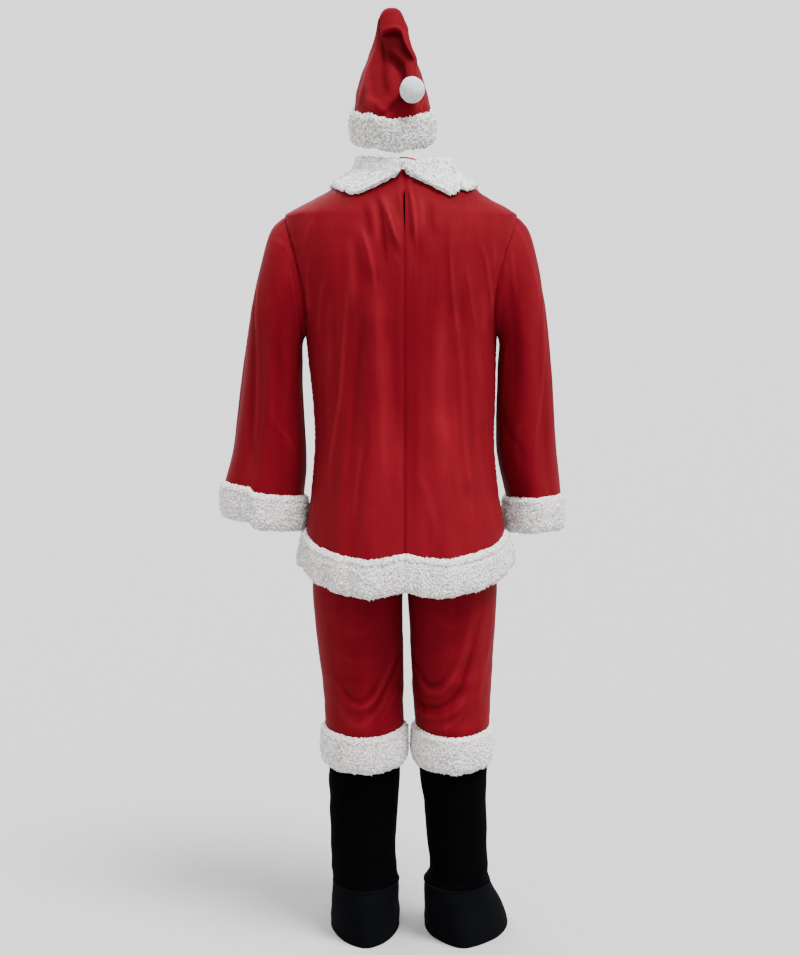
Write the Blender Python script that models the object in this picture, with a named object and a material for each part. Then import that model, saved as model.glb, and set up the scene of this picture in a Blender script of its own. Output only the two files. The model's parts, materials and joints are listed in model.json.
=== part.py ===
"""A four-piece santa suit in its worn, hollow form: folded hat, jacket, trousers and boot covers.

Metres, +Z up. The wearer faces -Y and the wearer's left is +X. Heights in the tables are above the
floor; the whole suit hangs from an empty, so that the origin is the middle of the shoulders.
Every cloth piece is a thin wall between an outer grid of points and the same grid moved inwards.
"""

import math

import bpy
import numpy as np

# ---------------------------------------------------------------- driving dimensions
SHOULDER_HEIGHT = 1.470  # the origin above the floor
SEAM_GAP = 0.0003
CLOTH = 0.0024
BOOT_CLOTH = 0.0030
BAND_CLOTH = 0.0060

TIP_HEIGHT = 1.460  # shoulder tip, where the armhole starts
ARMPIT_HEIGHT = 1.223
ARMHOLE_BACK = {1: math.radians(27), -1: math.radians(30)}  # how far the armhole is cut into the back
ARMHOLE_FRONT = math.radians(31)
SLIT_BOTTOM, SLIT_OPEN, SLIT_TAPER = 1.393, 0.0012, 0.030

HEM_BAND_HEIGHT, CUFF_HEIGHT, LEG_BAND_HEIGHT, HAT_BAND_HEIGHT = 0.071, 0.068, 0.072, 0.060
PLUSH = 0.0135

COLLAR_ROLL, COLLAR_ROLL_SHARE = 0.011, 0.30  # how far it rises over the neckline, and where that ends
COLLAR_START = 0.03  # radians from the centre back to the collar's upper end
COLLAR_POINT = {1: math.radians(29), -1: math.radians(28)}  # the slanted end's reach round the neck

WAISTBAND_HEIGHT = 0.034
POMPOM_RADIUS = 0.0262
POMPOM_UNEVEN = 0.015  # how far its surface dips, as a share of the radius

# Numbers of rows and columns in the grids
NECK_ROWS, ARM_ROWS, SIDE_ROWS = 4, 8, 8
BACK_COLUMNS, FRONT_COLUMNS, COLLAR_COLUMNS = 11, 9, 14
POMPOM_RINGS, POMPOM_SEGMENTS = 7, 12
HEM_STEP = 0.010  # how far below the hem's edge the band's direction is taken
DIFFERENCE_STEP = 0.002  # metres or radians between two points that give a direction on the body

# ---------------------------------------------------------------- jacket tables
# height, half-width left, half-width right, depth to the back, depth to the front
BODY = (
    (0.733, 0.203, 0.207, 0.176, 0.165),
    (0.838, 0.197, 0.201, 0.164, 0.154),
    (0.923, 0.186, 0.187, 0.150, 0.142),
    (1.028, 0.179, 0.179, 0.133, 0.131),
    (1.098, 0.183, 0.181, 0.128, 0.130),
    (1.173, 0.191, 0.182, 0.130, 0.134),
    (1.223, 0.196, 0.184, 0.133, 0.137),
    (1.273, 0.209, 0.193, 0.136, 0.138),
    (1.323, 0.224, 0.208, 0.137, 0.135),
    (1.373, 0.237, 0.222, 0.135, 0.128),
    (1.423, 0.241, 0.228, 0.128, 0.115),
    (1.460, 0.237, 0.223, 0.116, 0.101),
    (1.478, 0.209, 0.199, 0.108, 0.093),
    (1.493, 0.180, 0.170, 0.099, 0.085),
    (1.513, 0.143, 0.140, 0.086, 0.073),
    (1.533, 0.107, 0.106, 0.073, 0.060),
    (1.555, 0.078, 0.078, 0.060, 0.048),
)
# degrees round from the centre back, height
NECKLINE = ((0, 1.547), (50, 1.551), (90, 1.553), (130, 1.541), (180, 1.518))
HEMLINE = ((0, 0.808), (20, 0.797), (55, 0.811), (90, 0.835), (180, 0.823))

# Largest folds: x and height at the top, x and height at the bottom, half-width, how far they stand out
BACK_FOLDS = (
    (0.042, 1.503, 0.006, 1.373, 0.012, 0.005),
    (0.092, 1.453, 0.060, 1.323, 0.015, 0.007),
    (0.059, 1.353, 0.070, 0.673, 0.022, 0.010),
    (0.110, 1.153, 0.125, 0.673, 0.020, 0.006),
    (-0.024, 1.473, -0.034, 1.373, 0.012, 0.004),
    (-0.092, 1.453, -0.100, 1.263, 0.014, 0.006),
    (-0.100, 1.303, -0.122, 0.913, 0.018, 0.006),
    (-0.125, 1.383, -0.150, 1.023, 0.014, 0.005),
    (-0.078, 1.093, -0.080, 0.673, 0.022, 0.009),
    (0.000, 1.123, 0.000, 0.673, 0.022, -0.005),
    (0.030, 1.273, 0.012, 0.973, 0.016, -0.004),
)
FRONT_FOLDS = (
    (0.075, 1.393, 0.070, 1.123, 0.018, 0.006),
    (-0.080, 1.403, -0.078, 1.153, 0.018, 0.006),
    (0.065, 1.123, 0.085, 0.673, 0.022, 0.009),
    (-0.070, 1.103, -0.082, 0.673, 0.022, 0.009),
    (0.000, 1.073, 0.000, 0.673, 0.024, -0.004),
)
FOLD_FADE = 0.045
FOLD_SIDE_POWER = 0.5  # how slowly the folds fade out towards the side seams

# A collar's cross-section, from the neck over the outside and back under: share of its fall, height
# above the jacket, share of the roll over the neckline
COLLAR_PROFILE = (
    (-0.02, 0.0012, 1.0),
    (-0.04, 0.0090, 1.0),
    (0.06, 0.0150, 1.0),
    (0.22, 0.0135, 1.0),
    (0.50, 0.0115, 0.0),
    (0.80, 0.0110, 0.0),
    (0.97, 0.0085, 0.0),
    (1.00, 0.0040, 0.0),
    (0.92, 0.0016, 0.0),
    (0.60, 0.0016, 0.0),
    (0.30, 0.0016, 0.0),
    (0.06, 0.0010, 1.0),
)
# degrees round from the centre back, how far the collar falls from the neckline
COLLAR_FALL = ((0, 0.052), (28, 0.055), (60, 0.042), (90, 0.038), (120, 0.045), (180, 0.066))

# Sleeve rings: outer x, outer height, inner x, inner height, centre y, half-depth
LEFT_SLEEVE = (
    (0.2370, 1.460, 0.1960, 1.2230, 0.000, 0.062),
    (0.2600, 1.439, 0.2000, 1.2200, -0.001, 0.066),
    (0.2740, 1.409, 0.2020, 1.2130, -0.002, 0.068),
    (0.2840, 1.373, 0.2030, 1.2020, -0.004, 0.070),
    (0.2940, 1.333, 0.2035, 1.1850, -0.006, 0.070),
    (0.3045, 1.288, 0.2040, 1.1610, -0.009, 0.070),
    (0.3140, 1.238, 0.2040, 1.1290, -0.013, 0.068),
    (0.3235, 1.181, 0.2030, 1.0910, -0.018, 0.067),
    (0.3330, 1.118, 0.2010, 1.0490, -0.025, 0.069),
    (0.3420, 1.055, 0.1990, 1.0090, -0.032, 0.073),
    (0.3515, 0.995, 0.1985, 0.9690, -0.039, 0.078),
    (0.3715, 0.926, 0.2045, 0.9030, -0.048, 0.088),
)
RIGHT_SLEEVE = (
    (0.2230, 1.460, 0.1840, 1.2230, 0.000, 0.064),
    (0.2440, 1.437, 0.1880, 1.2200, -0.001, 0.066),
    (0.2560, 1.405, 0.1885, 1.2130, -0.002, 0.068),
    (0.2645, 1.369, 0.1885, 1.2020, -0.004, 0.069),
    (0.2725, 1.327, 0.1880, 1.1850, -0.006, 0.069),
    (0.2815, 1.281, 0.1870, 1.1610, -0.010, 0.068),
    (0.2880, 1.228, 0.1860, 1.1290, -0.015, 0.067),
    (0.2945, 1.168, 0.1850, 1.0910, -0.021, 0.067),
    (0.3000, 1.103, 0.1850, 1.0490, -0.029, 0.069),
    (0.3045, 1.039, 0.1860, 1.0070, -0.037, 0.072),
    (0.3105, 0.977, 0.1920, 0.9630, -0.046, 0.075),
    (0.3190, 0.905, 0.2080, 0.8980, -0.055, 0.079),
)
ARMHOLE_FADE = (1.0, 0.72, 0.45, 0.22, 0.08)  # how much of the armhole's own form each ring keeps
SLEEVE_FOLD_GROWTH = 3.0  # rings over which a sleeve fold grows to its full depth
# Sleeve folds: degrees round from the outside (90 is the back), first ring, half-width, depth
SLEEVE_FOLDS = (
    (58, 4, 13, -0.008),
    (92, 3, 18, 0.005),
    (128, 6, 14, -0.004),
    (232, 5, 16, -0.006),
    (272, 5, 18, 0.005),
    (310, 6, 14, -0.004),
)

# ---------------------------------------------------------------- trousers tables
# height, half-width, depth to the back, depth to the front, share of the seat's form (1 open, 0 a closed leg)
SEAT = (
    (1.033, 0.150, 0.110, 0.106, 1.00),
    (0.983, 0.160, 0.116, 0.112, 1.00),
    (0.933, 0.168, 0.124, 0.116, 0.98),
    (0.883, 0.174, 0.130, 0.120, 0.92),
    (0.838, 0.178, 0.132, 0.122, 0.80),
    (0.803, 0.180, 0.132, 0.122, 0.58),
    (0.785, 0.181, 0.130, 0.121, 0.34),
)
# height, left centre, left half-width, right centre, right half-width, half-depth, centre y
LEGS = (
    (0.773, 0.0915, 0.0912, 0.0915, 0.0912, 0.1000, 0.004),
    (0.733, 0.0935, 0.0910, 0.0950, 0.0908, 0.0980, 0.003),
    (0.693, 0.0940, 0.0900, 0.0965, 0.0895, 0.0960, 0.002),
    (0.643, 0.0915, 0.0880, 0.0970, 0.0865, 0.0930, 0.001),
    (0.593, 0.0880, 0.0860, 0.0965, 0.0835, 0.0910, 0.000),
    (0.548, 0.0850, 0.0830, 0.0960, 0.0810, 0.0890, -0.002),
    (0.508, 0.0830, 0.0805, 0.0955, 0.0790, 0.0860, -0.002),
    (0.473, 0.0820, 0.0795, 0.0965, 0.0770, 0.0840, -0.001),
    (0.440, 0.0815, 0.0800, 0.0977, 0.0755, 0.0835, 0.000),
)
LEG_COLUMNS = 16
# Sagging folds: degrees round (90 the back, 270 the front), height, half-width in degrees and in height, out
LEG_FOLDS = (
    (70, 0.613, 60, 0.016, 0.005),
    (110, 0.563, 60, 0.015, 0.005),
    (80, 0.518, 70, 0.014, 0.005),
    (100, 0.473, 70, 0.012, 0.005),
    (275, 0.583, 70, 0.018, 0.006),
    (265, 0.513, 70, 0.015, 0.005),
    (95, 0.693, 45, 0.020, 0.004),
)
LEG_FOLD_SAG = 0.020  # how much lower a fold hangs in its middle

# ---------------------------------------------------------------- boot tables
# height, left centre, left half-width, right centre, right half-width, half-depth, centre y
SHAFTS = (
    (0.398, 0.0815, 0.0750, 0.0977, 0.0705, 0.0770, 0.000),
    (0.333, 0.0812, 0.0728, 0.0990, 0.0685, 0.0740, 0.000),
    (0.273, 0.0825, 0.0695, 0.1035, 0.0635, 0.0700, 0.001),
    (0.203, 0.0840, 0.0665, 0.1075, 0.0610, 0.0680, 0.004),
    (0.148, 0.0825, 0.0660, 0.1120, 0.0590, 0.0680, 0.006),
    (0.120, 0.0785, 0.0670, 0.1070, 0.0665, 0.0710, 0.008),
)
ANKLE_TILT = 0.06  # the ankle seam rises this much per metre towards the toes
BOOT_COLUMNS = 16
TOE_OUT = {1: math.radians(2), -1: math.radians(5)}
HEEL_X = {1: 0.0770, -1: 0.1165}
HEEL_Y = 0.082
FOOT_LENGTH = 0.290
# share of the foot's length from the heel, half-width left, half-width right
SOLE = (
    (0.00, 0.034, 0.036),
    (0.08, 0.053, 0.057),
    (0.25, 0.065, 0.079),
    (0.50, 0.072, 0.087),
    (0.75, 0.067, 0.078),
    (1.00, 0.036, 0.040),
)
SOLE_ROUNDNESS = 0.75  # 1 is an ellipse's edge, less is squarer
# share of the way from the ankle out to the sole's edge, share of the ankle's height
FOOT_PROFILE = ((0.0, 1.0), (0.22, 0.80), (0.48, 0.58), (0.76, 0.35), (0.94, 0.15), (1.0, 0.0))

# ---------------------------------------------------------------- hat table
# x, y, height of a ring's centre, half-width, half-depth, pitch and lean of the ring in degrees
HAT = (
    (0.0235, 0.000, 1.667, 0.0760, 0.0900, 16, 0),
    (0.0240, 0.003, 1.689, 0.0715, 0.0820, 14, 0),
    (0.0245, 0.005, 1.713, 0.0650, 0.0700, 12, 0),
    (0.0247, 0.006, 1.739, 0.0565, 0.0560, 9, 0),
    (0.0250, 0.006, 1.765, 0.0465, 0.0420, 6, 0),
    (0.0255, 0.005, 1.791, 0.0375, 0.0290, 3, 0),
    (0.0260, 0.004, 1.817, 0.0300, 0.0170, 0, 0),
    (0.0262, 0.004, 1.839, 0.0260, 0.0085, 4, 0),
    (0.0262, 0.008, 1.8495, 0.0240, 0.0065, 40, 0),
    (0.0260, 0.0155, 1.8535, 0.0225, 0.0062, 85, 0),
    (0.0255, 0.0235, 1.8495, 0.0225, 0.0062, 130, 0),
    (0.0245, 0.0285, 1.839, 0.0230, 0.0064, 165, 4),
    (0.0195, 0.0375, 1.813, 0.0270, 0.0070, 163, 12),
    (0.0150, 0.0480, 1.789, 0.0265, 0.0074, 158, 24),
    (0.0022, 0.0580, 1.768, 0.0200, 0.0074, 156, 31),
    (-0.0125, 0.0700, 1.7440, 0.0125, 0.0070, 152, 20),
    (-0.0124, 0.0835, 1.7151, 0.0085, 0.0060, 150, 5),
)
HAT_COLUMNS = 18

# ---------------------------------------------------------------- looks
RED = (0.36, 0.012, 0.018, 1.0)
WHITE = (0.80, 0.78, 0.75, 1.0)
BLACK = (0.006, 0.006, 0.008, 1.0)

# A plush band's cross-section: share of its thickness outwards, share of its height downwards
BAND_PROFILE = (
    (-0.28, 0.00),
    (0.26, 0.00),
    (0.62, 0.16),
    (0.70, 0.50),
    (0.60, 0.84),
    (0.20, 1.00),
    (-0.20, 0.97),
    (-0.34, 0.50),
)


# ---------------------------------------------------------------- curves and grids
def smooth(table, column, x):
    """Monotone cubic through a table's first column and the given one."""
    rows = sorted(table)
    xs = np.array([row[0] for row in rows], float)
    ys = np.array([row[column] for row in rows], float)
    steps = np.diff(xs)
    slopes = np.diff(ys) / steps
    product = slopes[:-1] * slopes[1:]
    total = np.where(product > 0, slopes[:-1] + slopes[1:], 1.0)
    inner = np.where(product > 0, 2 * product / total, 0.0)
    tangent = np.concatenate([slopes[:1], inner, slopes[-1:]])
    x = np.clip(np.asarray(x, float), xs[0], xs[-1])
    i = np.clip(np.searchsorted(xs, x) - 1, 0, len(xs) - 2)
    t = (x - xs[i]) / steps[i]
    rise = (3 - 2 * t) * t * t
    return (
        ys[i] * (1 - rise)
        + ys[i + 1] * rise
        + steps[i] * t * (1 - t) * ((1 - t) * tangent[i] - t * tangent[i + 1])
    )


def unit(vectors):
    return vectors / np.linalg.norm(vectors, axis=-1, keepdims=True)


def ease(t):
    t = np.clip(t, 0.0, 1.0)
    return t * t * (3 - 2 * t)


def stack(x, y, z):
    return np.stack(np.broadcast_arrays(x, y, z), axis=-1).astype(float)


def grid_normals(points, wrap, centre):
    """Unit normals of a rows by columns grid, pointing away from centre (a point per row)."""
    along = np.gradient(points, axis=0)
    if wrap:
        around = np.roll(points, -1, 1) - np.roll(points, 1, 1)
    else:
        around = np.gradient(points, axis=1)
    normals = unit(np.cross(around, along))
    outwards = ((points - centre[:, None, :]) * normals).sum(axis=2).mean()
    return normals if outwards > 0 else -normals


def pull(outer, inner, axis, end, distance):
    """Moves the last or first row (axis 0) or column (axis 1) of both grids towards the next one."""
    outer, inner = outer.copy(), inner.copy()
    edge = [slice(None)] * 3
    neighbour = [slice(None)] * 3
    edge[axis] = 0 if end == "first" else -1
    neighbour[axis] = 1 if end == "first" else -2
    edge, neighbour = tuple(edge), tuple(neighbour)
    step = unit(outer[neighbour] - outer[edge]) * np.asarray(distance)[..., None]
    outer[edge] += step
    inner[edge] += step
    return outer, inner


def closed_columns(grid):
    return np.concatenate([grid, grid[:, :1]], axis=1)


# ---------------------------------------------------------------- objects
def material(name, colour, roughness):
    mat = bpy.data.materials.new(name)
    mat.use_nodes = True
    shader = mat.node_tree.nodes["Principled BSDF"]
    shader.inputs["Base Color"].default_value = colour
    shader.inputs["Roughness"].default_value = roughness
    shader.inputs["Metallic"].default_value = 0.0
    mat.diffuse_color = colour
    return mat


def add_object(name, points, faces, mat, sharp_degrees=50):
    """A mesh object on the suit's empty, made of only the points that its faces use."""
    used = sorted({index for face in faces for index in face})
    new_index = {old: new for new, old in enumerate(used)}
    mesh = bpy.data.meshes.new(name)
    mesh.from_pydata(
        [tuple(points[i]) for i in used], [], [[new_index[i] for i in face] for face in faces]
    )
    mesh.materials.append(mat)
    corners = np.array([tuple(points[i]) for i in used])
    mesh.calc_loop_triangles()
    triangles = np.array([tuple(tri.vertices) for tri in mesh.loop_triangles])
    if np.linalg.det(corners[triangles]).sum() < 0:
        mesh.flip_normals()
    mesh.shade_smooth()
    mesh.set_sharp_from_angle(angle=math.radians(sharp_degrees))
    piece = bpy.data.objects.new(name, mesh)
    bpy.context.scene.collection.objects.link(piece)
    piece.parent = bpy.data.objects["suit"]
    return piece


def add_wall(name, outer, inner, mat, open_rows=None, capped=False):
    """One closed solid between two grids. Rows before open_rows end at both sides; in the others the
    last column is the first one again. A capped wall is shut at its last row."""
    rows, columns = outer.shape[:2]
    open_rows = rows if open_rows is None else open_rows
    last = columns - 1
    points = list(outer.reshape(-1, 3)) + list(inner.reshape(-1, 3))

    def index(layer, i, j):
        if j == last and i >= open_rows:
            j = 0
        return (layer * rows + i) * columns + j

    faces = []
    for i in range(rows - 1):
        for j in range(last):
            quad = ((i, j), (i + 1, j), (i + 1, j + 1), (i, j + 1))
            faces.append([index(0, *corner) for corner in quad])
            faces.append([index(1, *corner) for corner in reversed(quad)])
    for j in range(last):
        faces.append([index(0, 0, j), index(0, 0, j + 1), index(1, 0, j + 1), index(1, 0, j)])
    end = rows - 1
    if capped:
        for layer, grid in enumerate((outer, inner)):
            points.append(grid[end, :last].mean(axis=0))
            tip = len(points) - 1
            for j in range(last):
                face = [index(layer, end, j + 1), index(layer, end, j), tip]
                faces.append(face if layer == 0 else face[::-1])
    else:
        for j in range(last):
            faces.append(
                [index(1, end, j), index(1, end, j + 1), index(0, end, j + 1), index(0, end, j)]
            )
    for i in range(min(open_rows, end)):
        faces.append([index(0, i + 1, 0), index(0, i, 0), index(1, i, 0), index(1, i + 1, 0)])
        faces.append(
            [index(1, i + 1, last), index(1, i, last), index(0, i, last), index(0, i + 1, last)]
        )
    return add_object(name, points, faces, mat)


def add_loft(name, sections, mat, ring):
    """A solid through closed sections of equal point counts: a ring, or a strip with flat ends."""
    count, corners = sections.shape[:2]
    faces = []
    for s in range(count if ring else count - 1):
        t = (s + 1) % count
        for k in range(corners):
            m = (k + 1) % corners
            faces.append([s * corners + k, t * corners + k, t * corners + m, s * corners + m])
    if not ring:
        faces.append(list(range(corners)))
        faces.append([(count - 1) * corners + k for k in reversed(range(corners))])
    return add_object(name, sections.reshape(-1, 3), faces, mat, sharp_degrees=60)


def band_sections(edge, down, out, height):
    """A plush band's sections hung from a cloth edge, with a seam's gap between them."""
    sections = []
    for share_out, share_down in BAND_PROFILE:
        drop = SEAM_GAP + share_down * height
        sections.append(edge + out * (share_out * PLUSH) + down * drop)
    return np.stack(sections, axis=1)


# ---------------------------------------------------------------- jacket body
def folds(table, x, height):
    total = np.zeros(np.broadcast(x, height).shape)
    for x_top, z_top, x_bottom, z_bottom, width, depth in table:
        share = (z_top - height) / (z_top - z_bottom)
        middle = x_top + (x_bottom - x_top) * np.clip(share, 0, 1)
        window = ease((z_top - height) / FOLD_FADE) * ease((height - z_bottom) / FOLD_FADE)
        total += depth * window * np.exp(-(((x - middle) / width) ** 2))
    return total


def body(side, turn, height):
    """A point of the jacket's outer surface: turn runs from the centre back (0) to the front (pi)."""
    half_width = smooth(BODY, 1 if side > 0 else 2, height)
    back = np.cos(turn) >= 0
    depth = np.where(back, smooth(BODY, 3, height), smooth(BODY, 4, height))
    x = side * half_width * np.sin(turn)
    y = depth * np.cos(turn)
    out = unit(stack(side * np.sin(turn) / half_width, np.cos(turn) / depth, 0.0 * height))
    fold = np.where(back, folds(BACK_FOLDS, x, height), folds(FRONT_FOLDS, x, height))
    return stack(x, y, height) + out * (fold * np.abs(np.cos(turn)) ** FOLD_SIDE_POWER)[..., None]


def body_normals(side, turn, height):
    step = DIFFERENCE_STEP
    around = body(side, turn + step, height) - body(side, turn - step, height)
    along = body(side, turn, height + step) - body(side, turn, height - step)
    return unit(np.cross(along, around) * side)


def line_height(table, turn):
    return smooth(table, 1, np.degrees(turn))


def arm_height(angle):
    middle, reach = (TIP_HEIGHT + ARMPIT_HEIGHT) / 2, (TIP_HEIGHT - ARMPIT_HEIGHT) / 2
    return middle + reach * np.cos(angle)


def armhole_turn(side, angle):
    """Where the armhole's edge lies round the body: angle runs tip (0), back, armpit (pi), front."""
    cut = np.sin(angle)
    return math.pi / 2 - np.where(cut > 0, ARMHOLE_BACK[side], ARMHOLE_FRONT) * cut


def half_rows(side, front, columns):
    """Turns and heights of a half panel's grid, from its centre to its outer edge."""
    turns, heights = [], []
    share = np.linspace(0.0, 1.0, columns + 1)
    middle = math.pi if front else 0.0
    for fall in np.linspace(0.0, 1.0, NECK_ROWS + 1)[:-1]:
        turn = middle + (math.pi / 2 - middle) * share
        turns.append(turn)
        heights.append(line_height(NECKLINE, turn) * (1 - fall) + TIP_HEIGHT * fall)
    for i in range(ARM_ROWS + 1):
        angle = math.pi * i / ARM_ROWS
        edge = armhole_turn(side, -angle if front else angle)
        turns.append(middle + (edge - middle) * share)
        heights.append(np.full(columns + 1, arm_height(angle)))
    for fall in np.linspace(0.0, 1.0, SIDE_ROWS + 1)[1:]:
        turn = middle + (math.pi / 2 - middle) * share
        turns.append(turn)
        heights.append(ARMPIT_HEIGHT * (1 - fall) + line_height(HEMLINE, turn) * fall)
    return np.array(turns), np.array(heights)


def armhole_frame(side, sleeve):
    """Seam points round the armhole, the direction shared by both walls, and the direction across."""
    count = 2 * ARM_ROWS
    angle = 2 * math.pi * np.arange(count) / count
    turn, height = armhole_turn(side, angle), arm_height(angle)
    seam = body(side, turn, height)
    body_out = body_normals(side, turn, height)
    to_sleeve = unit(sleeve[1] - seam)
    edge = np.roll(seam, -1, 0) - np.roll(seam, 1, 0)
    sleeve_out = unit(np.cross(edge, to_sleeve))
    centre = seam.mean(axis=0)
    if ((seam - centre) * sleeve_out).sum() < 0:
        sleeve_out = -sleeve_out
    shared = unit(body_out + sleeve_out)
    stretch = 1.0 / np.clip((shared * body_out).sum(axis=1), 0.55, 1.0)
    across = unit(np.cross(edge, shared))
    if (across * (sleeve[3].mean(axis=0) - centre)).sum() < 0:
        across = -across
    return seam, shared * stretch[:, None], across


def sleeve_rings(side, table):
    """The sleeve's outer grid, from the armhole to the cuff seam."""
    count = 2 * ARM_ROWS
    angle = 2 * math.pi * np.arange(count) / count
    armhole = body(side, armhole_turn(side, angle), arm_height(angle))
    rings = []
    for k, (out_x, out_z, in_x, in_z, y, half_depth) in enumerate(table):
        outer = np.array([side * out_x, y, out_z])
        inner = np.array([side * in_x, y, in_z])
        radius = np.ones(count)
        for degrees, first, width, depth in SLEEVE_FOLDS:
            apart = (np.degrees(angle) - degrees + 180) % 360 - 180
            window = float(ease((k - first) / SLEEVE_FOLD_GROWTH))
            radius += depth / half_depth * window * np.exp(-((apart / width) ** 2))
        reach = (outer - inner) / 2
        ring = (outer + inner) / 2 + radius[:, None] * (
            np.cos(angle)[:, None] * reach
            + np.sin(angle)[:, None] * np.array([0.0, half_depth, 0.0])
        )
        if k == 0:
            first_ring = ring
        keep = ARMHOLE_FADE[k] if k < len(ARMHOLE_FADE) else 0.0
        rings.append(ring + keep * (armhole - first_ring))
    return np.array(rings)


def make_sleeve(side, label, table, red, white):
    outer = sleeve_rings(side, table)
    seam, shared, across = armhole_frame(side, outer)
    normals = grid_normals(outer, True, outer.mean(axis=1))
    inner = outer - normals * CLOTH
    outer[0] = seam + across * SEAM_GAP / 2
    inner[0] = outer[0] - shared * CLOTH
    down = np.array([0.0, 0.0, -1.0])
    out = unit(normals[-1] * np.array([1.0, 1.0, 0.0]))
    inner[-1] = outer[-1] - out * CLOTH
    add_wall(f"sleeve_{label}", closed_columns(outer), closed_columns(inner), red, open_rows=0)
    sections = band_sections(outer[-1], down, out, CUFF_HEIGHT)
    add_loft(f"cuff_{label}", sections, white, ring=True)
    return seam, shared, across


def half_panel(side, front, columns, armhole):
    """Outer and inner grid of half a body panel, with the armhole's edge shared with the sleeve."""
    turns, heights = half_rows(side, front, columns)
    outer = body(side, turns, heights)
    inner = outer - body_normals(side, turns, heights) * CLOTH
    outer, inner = pull(outer, inner, 1, "last", SEAM_GAP / 2)
    seam, shared, across = armhole
    for i in range(ARM_ROWS + 1):
        k = (-i if front else i) % (2 * ARM_ROWS)
        outer[NECK_ROWS + i, -1] = seam[k] - across[k] * SEAM_GAP / 2
        inner[NECK_ROWS + i, -1] = outer[NECK_ROWS + i, -1] - shared[k] * CLOTH
    return outer, inner


def make_body(red, white, armholes):
    for side, label in ((1, "left"), (-1, "right")):
        outer, inner = half_panel(side, False, BACK_COLUMNS, armholes[side])
        slit = ease((outer[:, 0, 2] - SLIT_BOTTOM) / SLIT_TAPER) * SLIT_OPEN
        outer, inner = pull(outer, inner, 1, "first", SEAM_GAP / 2 + slit)
        add_wall(f"jacket_back_{label}", outer, inner, red)
    halves = [half_panel(side, True, FRONT_COLUMNS, armholes[side]) for side in (1, -1)]
    joined = [np.concatenate([left[:, :0:-1], right], 1) for left, right in zip(*halves)]
    add_wall("jacket_front", joined[0], joined[1], red)
    for name, sides, front in (("back", (1, -1), False), ("front", (1, -1), True)):
        columns = FRONT_COLUMNS if front else BACK_COLUMNS
        parts = []
        for side in sides:
            turns, heights = half_rows(side, front, columns)
            turn, height = turns[-1], heights[-1]
            edge = body(side, turn, height)
            edge[-1] += unit(edge[-2] - edge[-1]) * SEAM_GAP / 2
            down = unit(body(side, turn, height - HEM_STEP) - body(side, turn, height))
            parts.append(band_sections(edge, down, body_normals(side, turn, height), HEM_BAND_HEIGHT))
        sections = np.concatenate([parts[0][:0:-1], parts[1]])
        add_loft(f"hem_band_{name}", sections, white, ring=False)


def make_collar(side, label, white):
    """Half a collar: it rises over the neckline and lies on the shoulders, with a slanted back end."""
    shares = np.linspace(0.0, 1.0, COLLAR_COLUMNS)
    sections = []
    for fall_share, lift, rolled in COLLAR_PROFILE:
        share = max(fall_share, 0.0)
        start = COLLAR_START + COLLAR_POINT[side] * share
        turn = start + (math.pi - start) * shares
        height = line_height(NECKLINE, turn) - smooth(COLLAR_FALL, 1, np.degrees(turn)) * share
        rise = rolled * COLLAR_ROLL * ease(1 - share / COLLAR_ROLL_SHARE)
        normal = body_normals(side, turn, height)
        point = body(side, turn, height) + normal * lift
        point[:, 2] += rise
        point[:, 0] = side * np.maximum(side * point[:, 0], SEAM_GAP / 2)
        sections.append(point)
    add_loft(f"collar_{label}", np.stack(sections, axis=1), white, ring=False)


# ---------------------------------------------------------------- trousers
def leg_fold(angle, height):
    total = np.zeros(np.broadcast(angle, height).shape)
    for degrees, at, width, tall, depth in LEG_FOLDS:
        apart = (np.degrees(angle) - degrees + 180) % 360 - 180
        sag = at - LEG_FOLD_SAG * np.cos(np.radians(apart)) ** 2
        total += depth * np.exp(-((apart / width) ** 2) - (((height - sag) / tall) ** 2))
    return total


def make_trousers(side, label, red, white):
    count = LEG_COLUMNS
    angle = 2 * math.pi * np.arange(count + 1) / count  # 0 inside the leg, 90 degrees at the back
    column = 1 if side > 0 else 3
    top = LEGS[0]
    rows = []
    for height, half_width, back, front, share in SEAT:
        leg_x = top[column] - top[column + 1] * np.cos(angle)
        leg_y = top[6] + top[5] * np.sin(angle)
        depth = np.where(angle <= math.pi, back, front)
        x = (1 - share) * leg_x + share * half_width * np.sin(angle / 2)
        y = (1 - share) * leg_y + share * depth * np.cos(angle / 2)
        rows.append(stack(side * np.maximum(x, SEAM_GAP / 2), y, height))
    for row in LEGS:
        height, centre, half_width, half_depth, y = (
            row[0],
            row[column],
            row[column + 1],
            row[5],
            row[6],
        )
        out = 1 + leg_fold(angle, height) / half_depth
        x = centre - half_width * out * np.cos(angle)
        rows.append(stack(side * np.maximum(x, SEAM_GAP / 2), y + half_depth * out * np.sin(angle), height))
    outer = np.array(rows)
    open_rows = len(SEAT)
    centre = outer[:, :-1].mean(axis=1)
    upper = grid_normals(outer[: open_rows + 1], False, centre[: open_rows + 1])[:open_rows]
    upper[:, [0, -1], 0] = 0.0
    lower = grid_normals(outer[open_rows:, :-1], True, centre[open_rows:])
    normals = np.concatenate([unit(upper), closed_columns(lower)])
    inner = outer - normals * CLOTH
    down = np.array([0.0, 0.0, -1.0])
    out = unit(lower[-1] * np.array([1.0, 1.0, 0.0]))
    inner[-1] = outer[-1] - closed_columns(out[None])[0] * CLOTH
    add_wall(f"trousers_{label}", outer, inner, red, open_rows=open_rows)
    sections = band_sections(outer[-1, :-1], down, out, LEG_BAND_HEIGHT)
    add_loft(f"leg_band_{label}", sections, white, ring=True)
    return outer[0]


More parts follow.
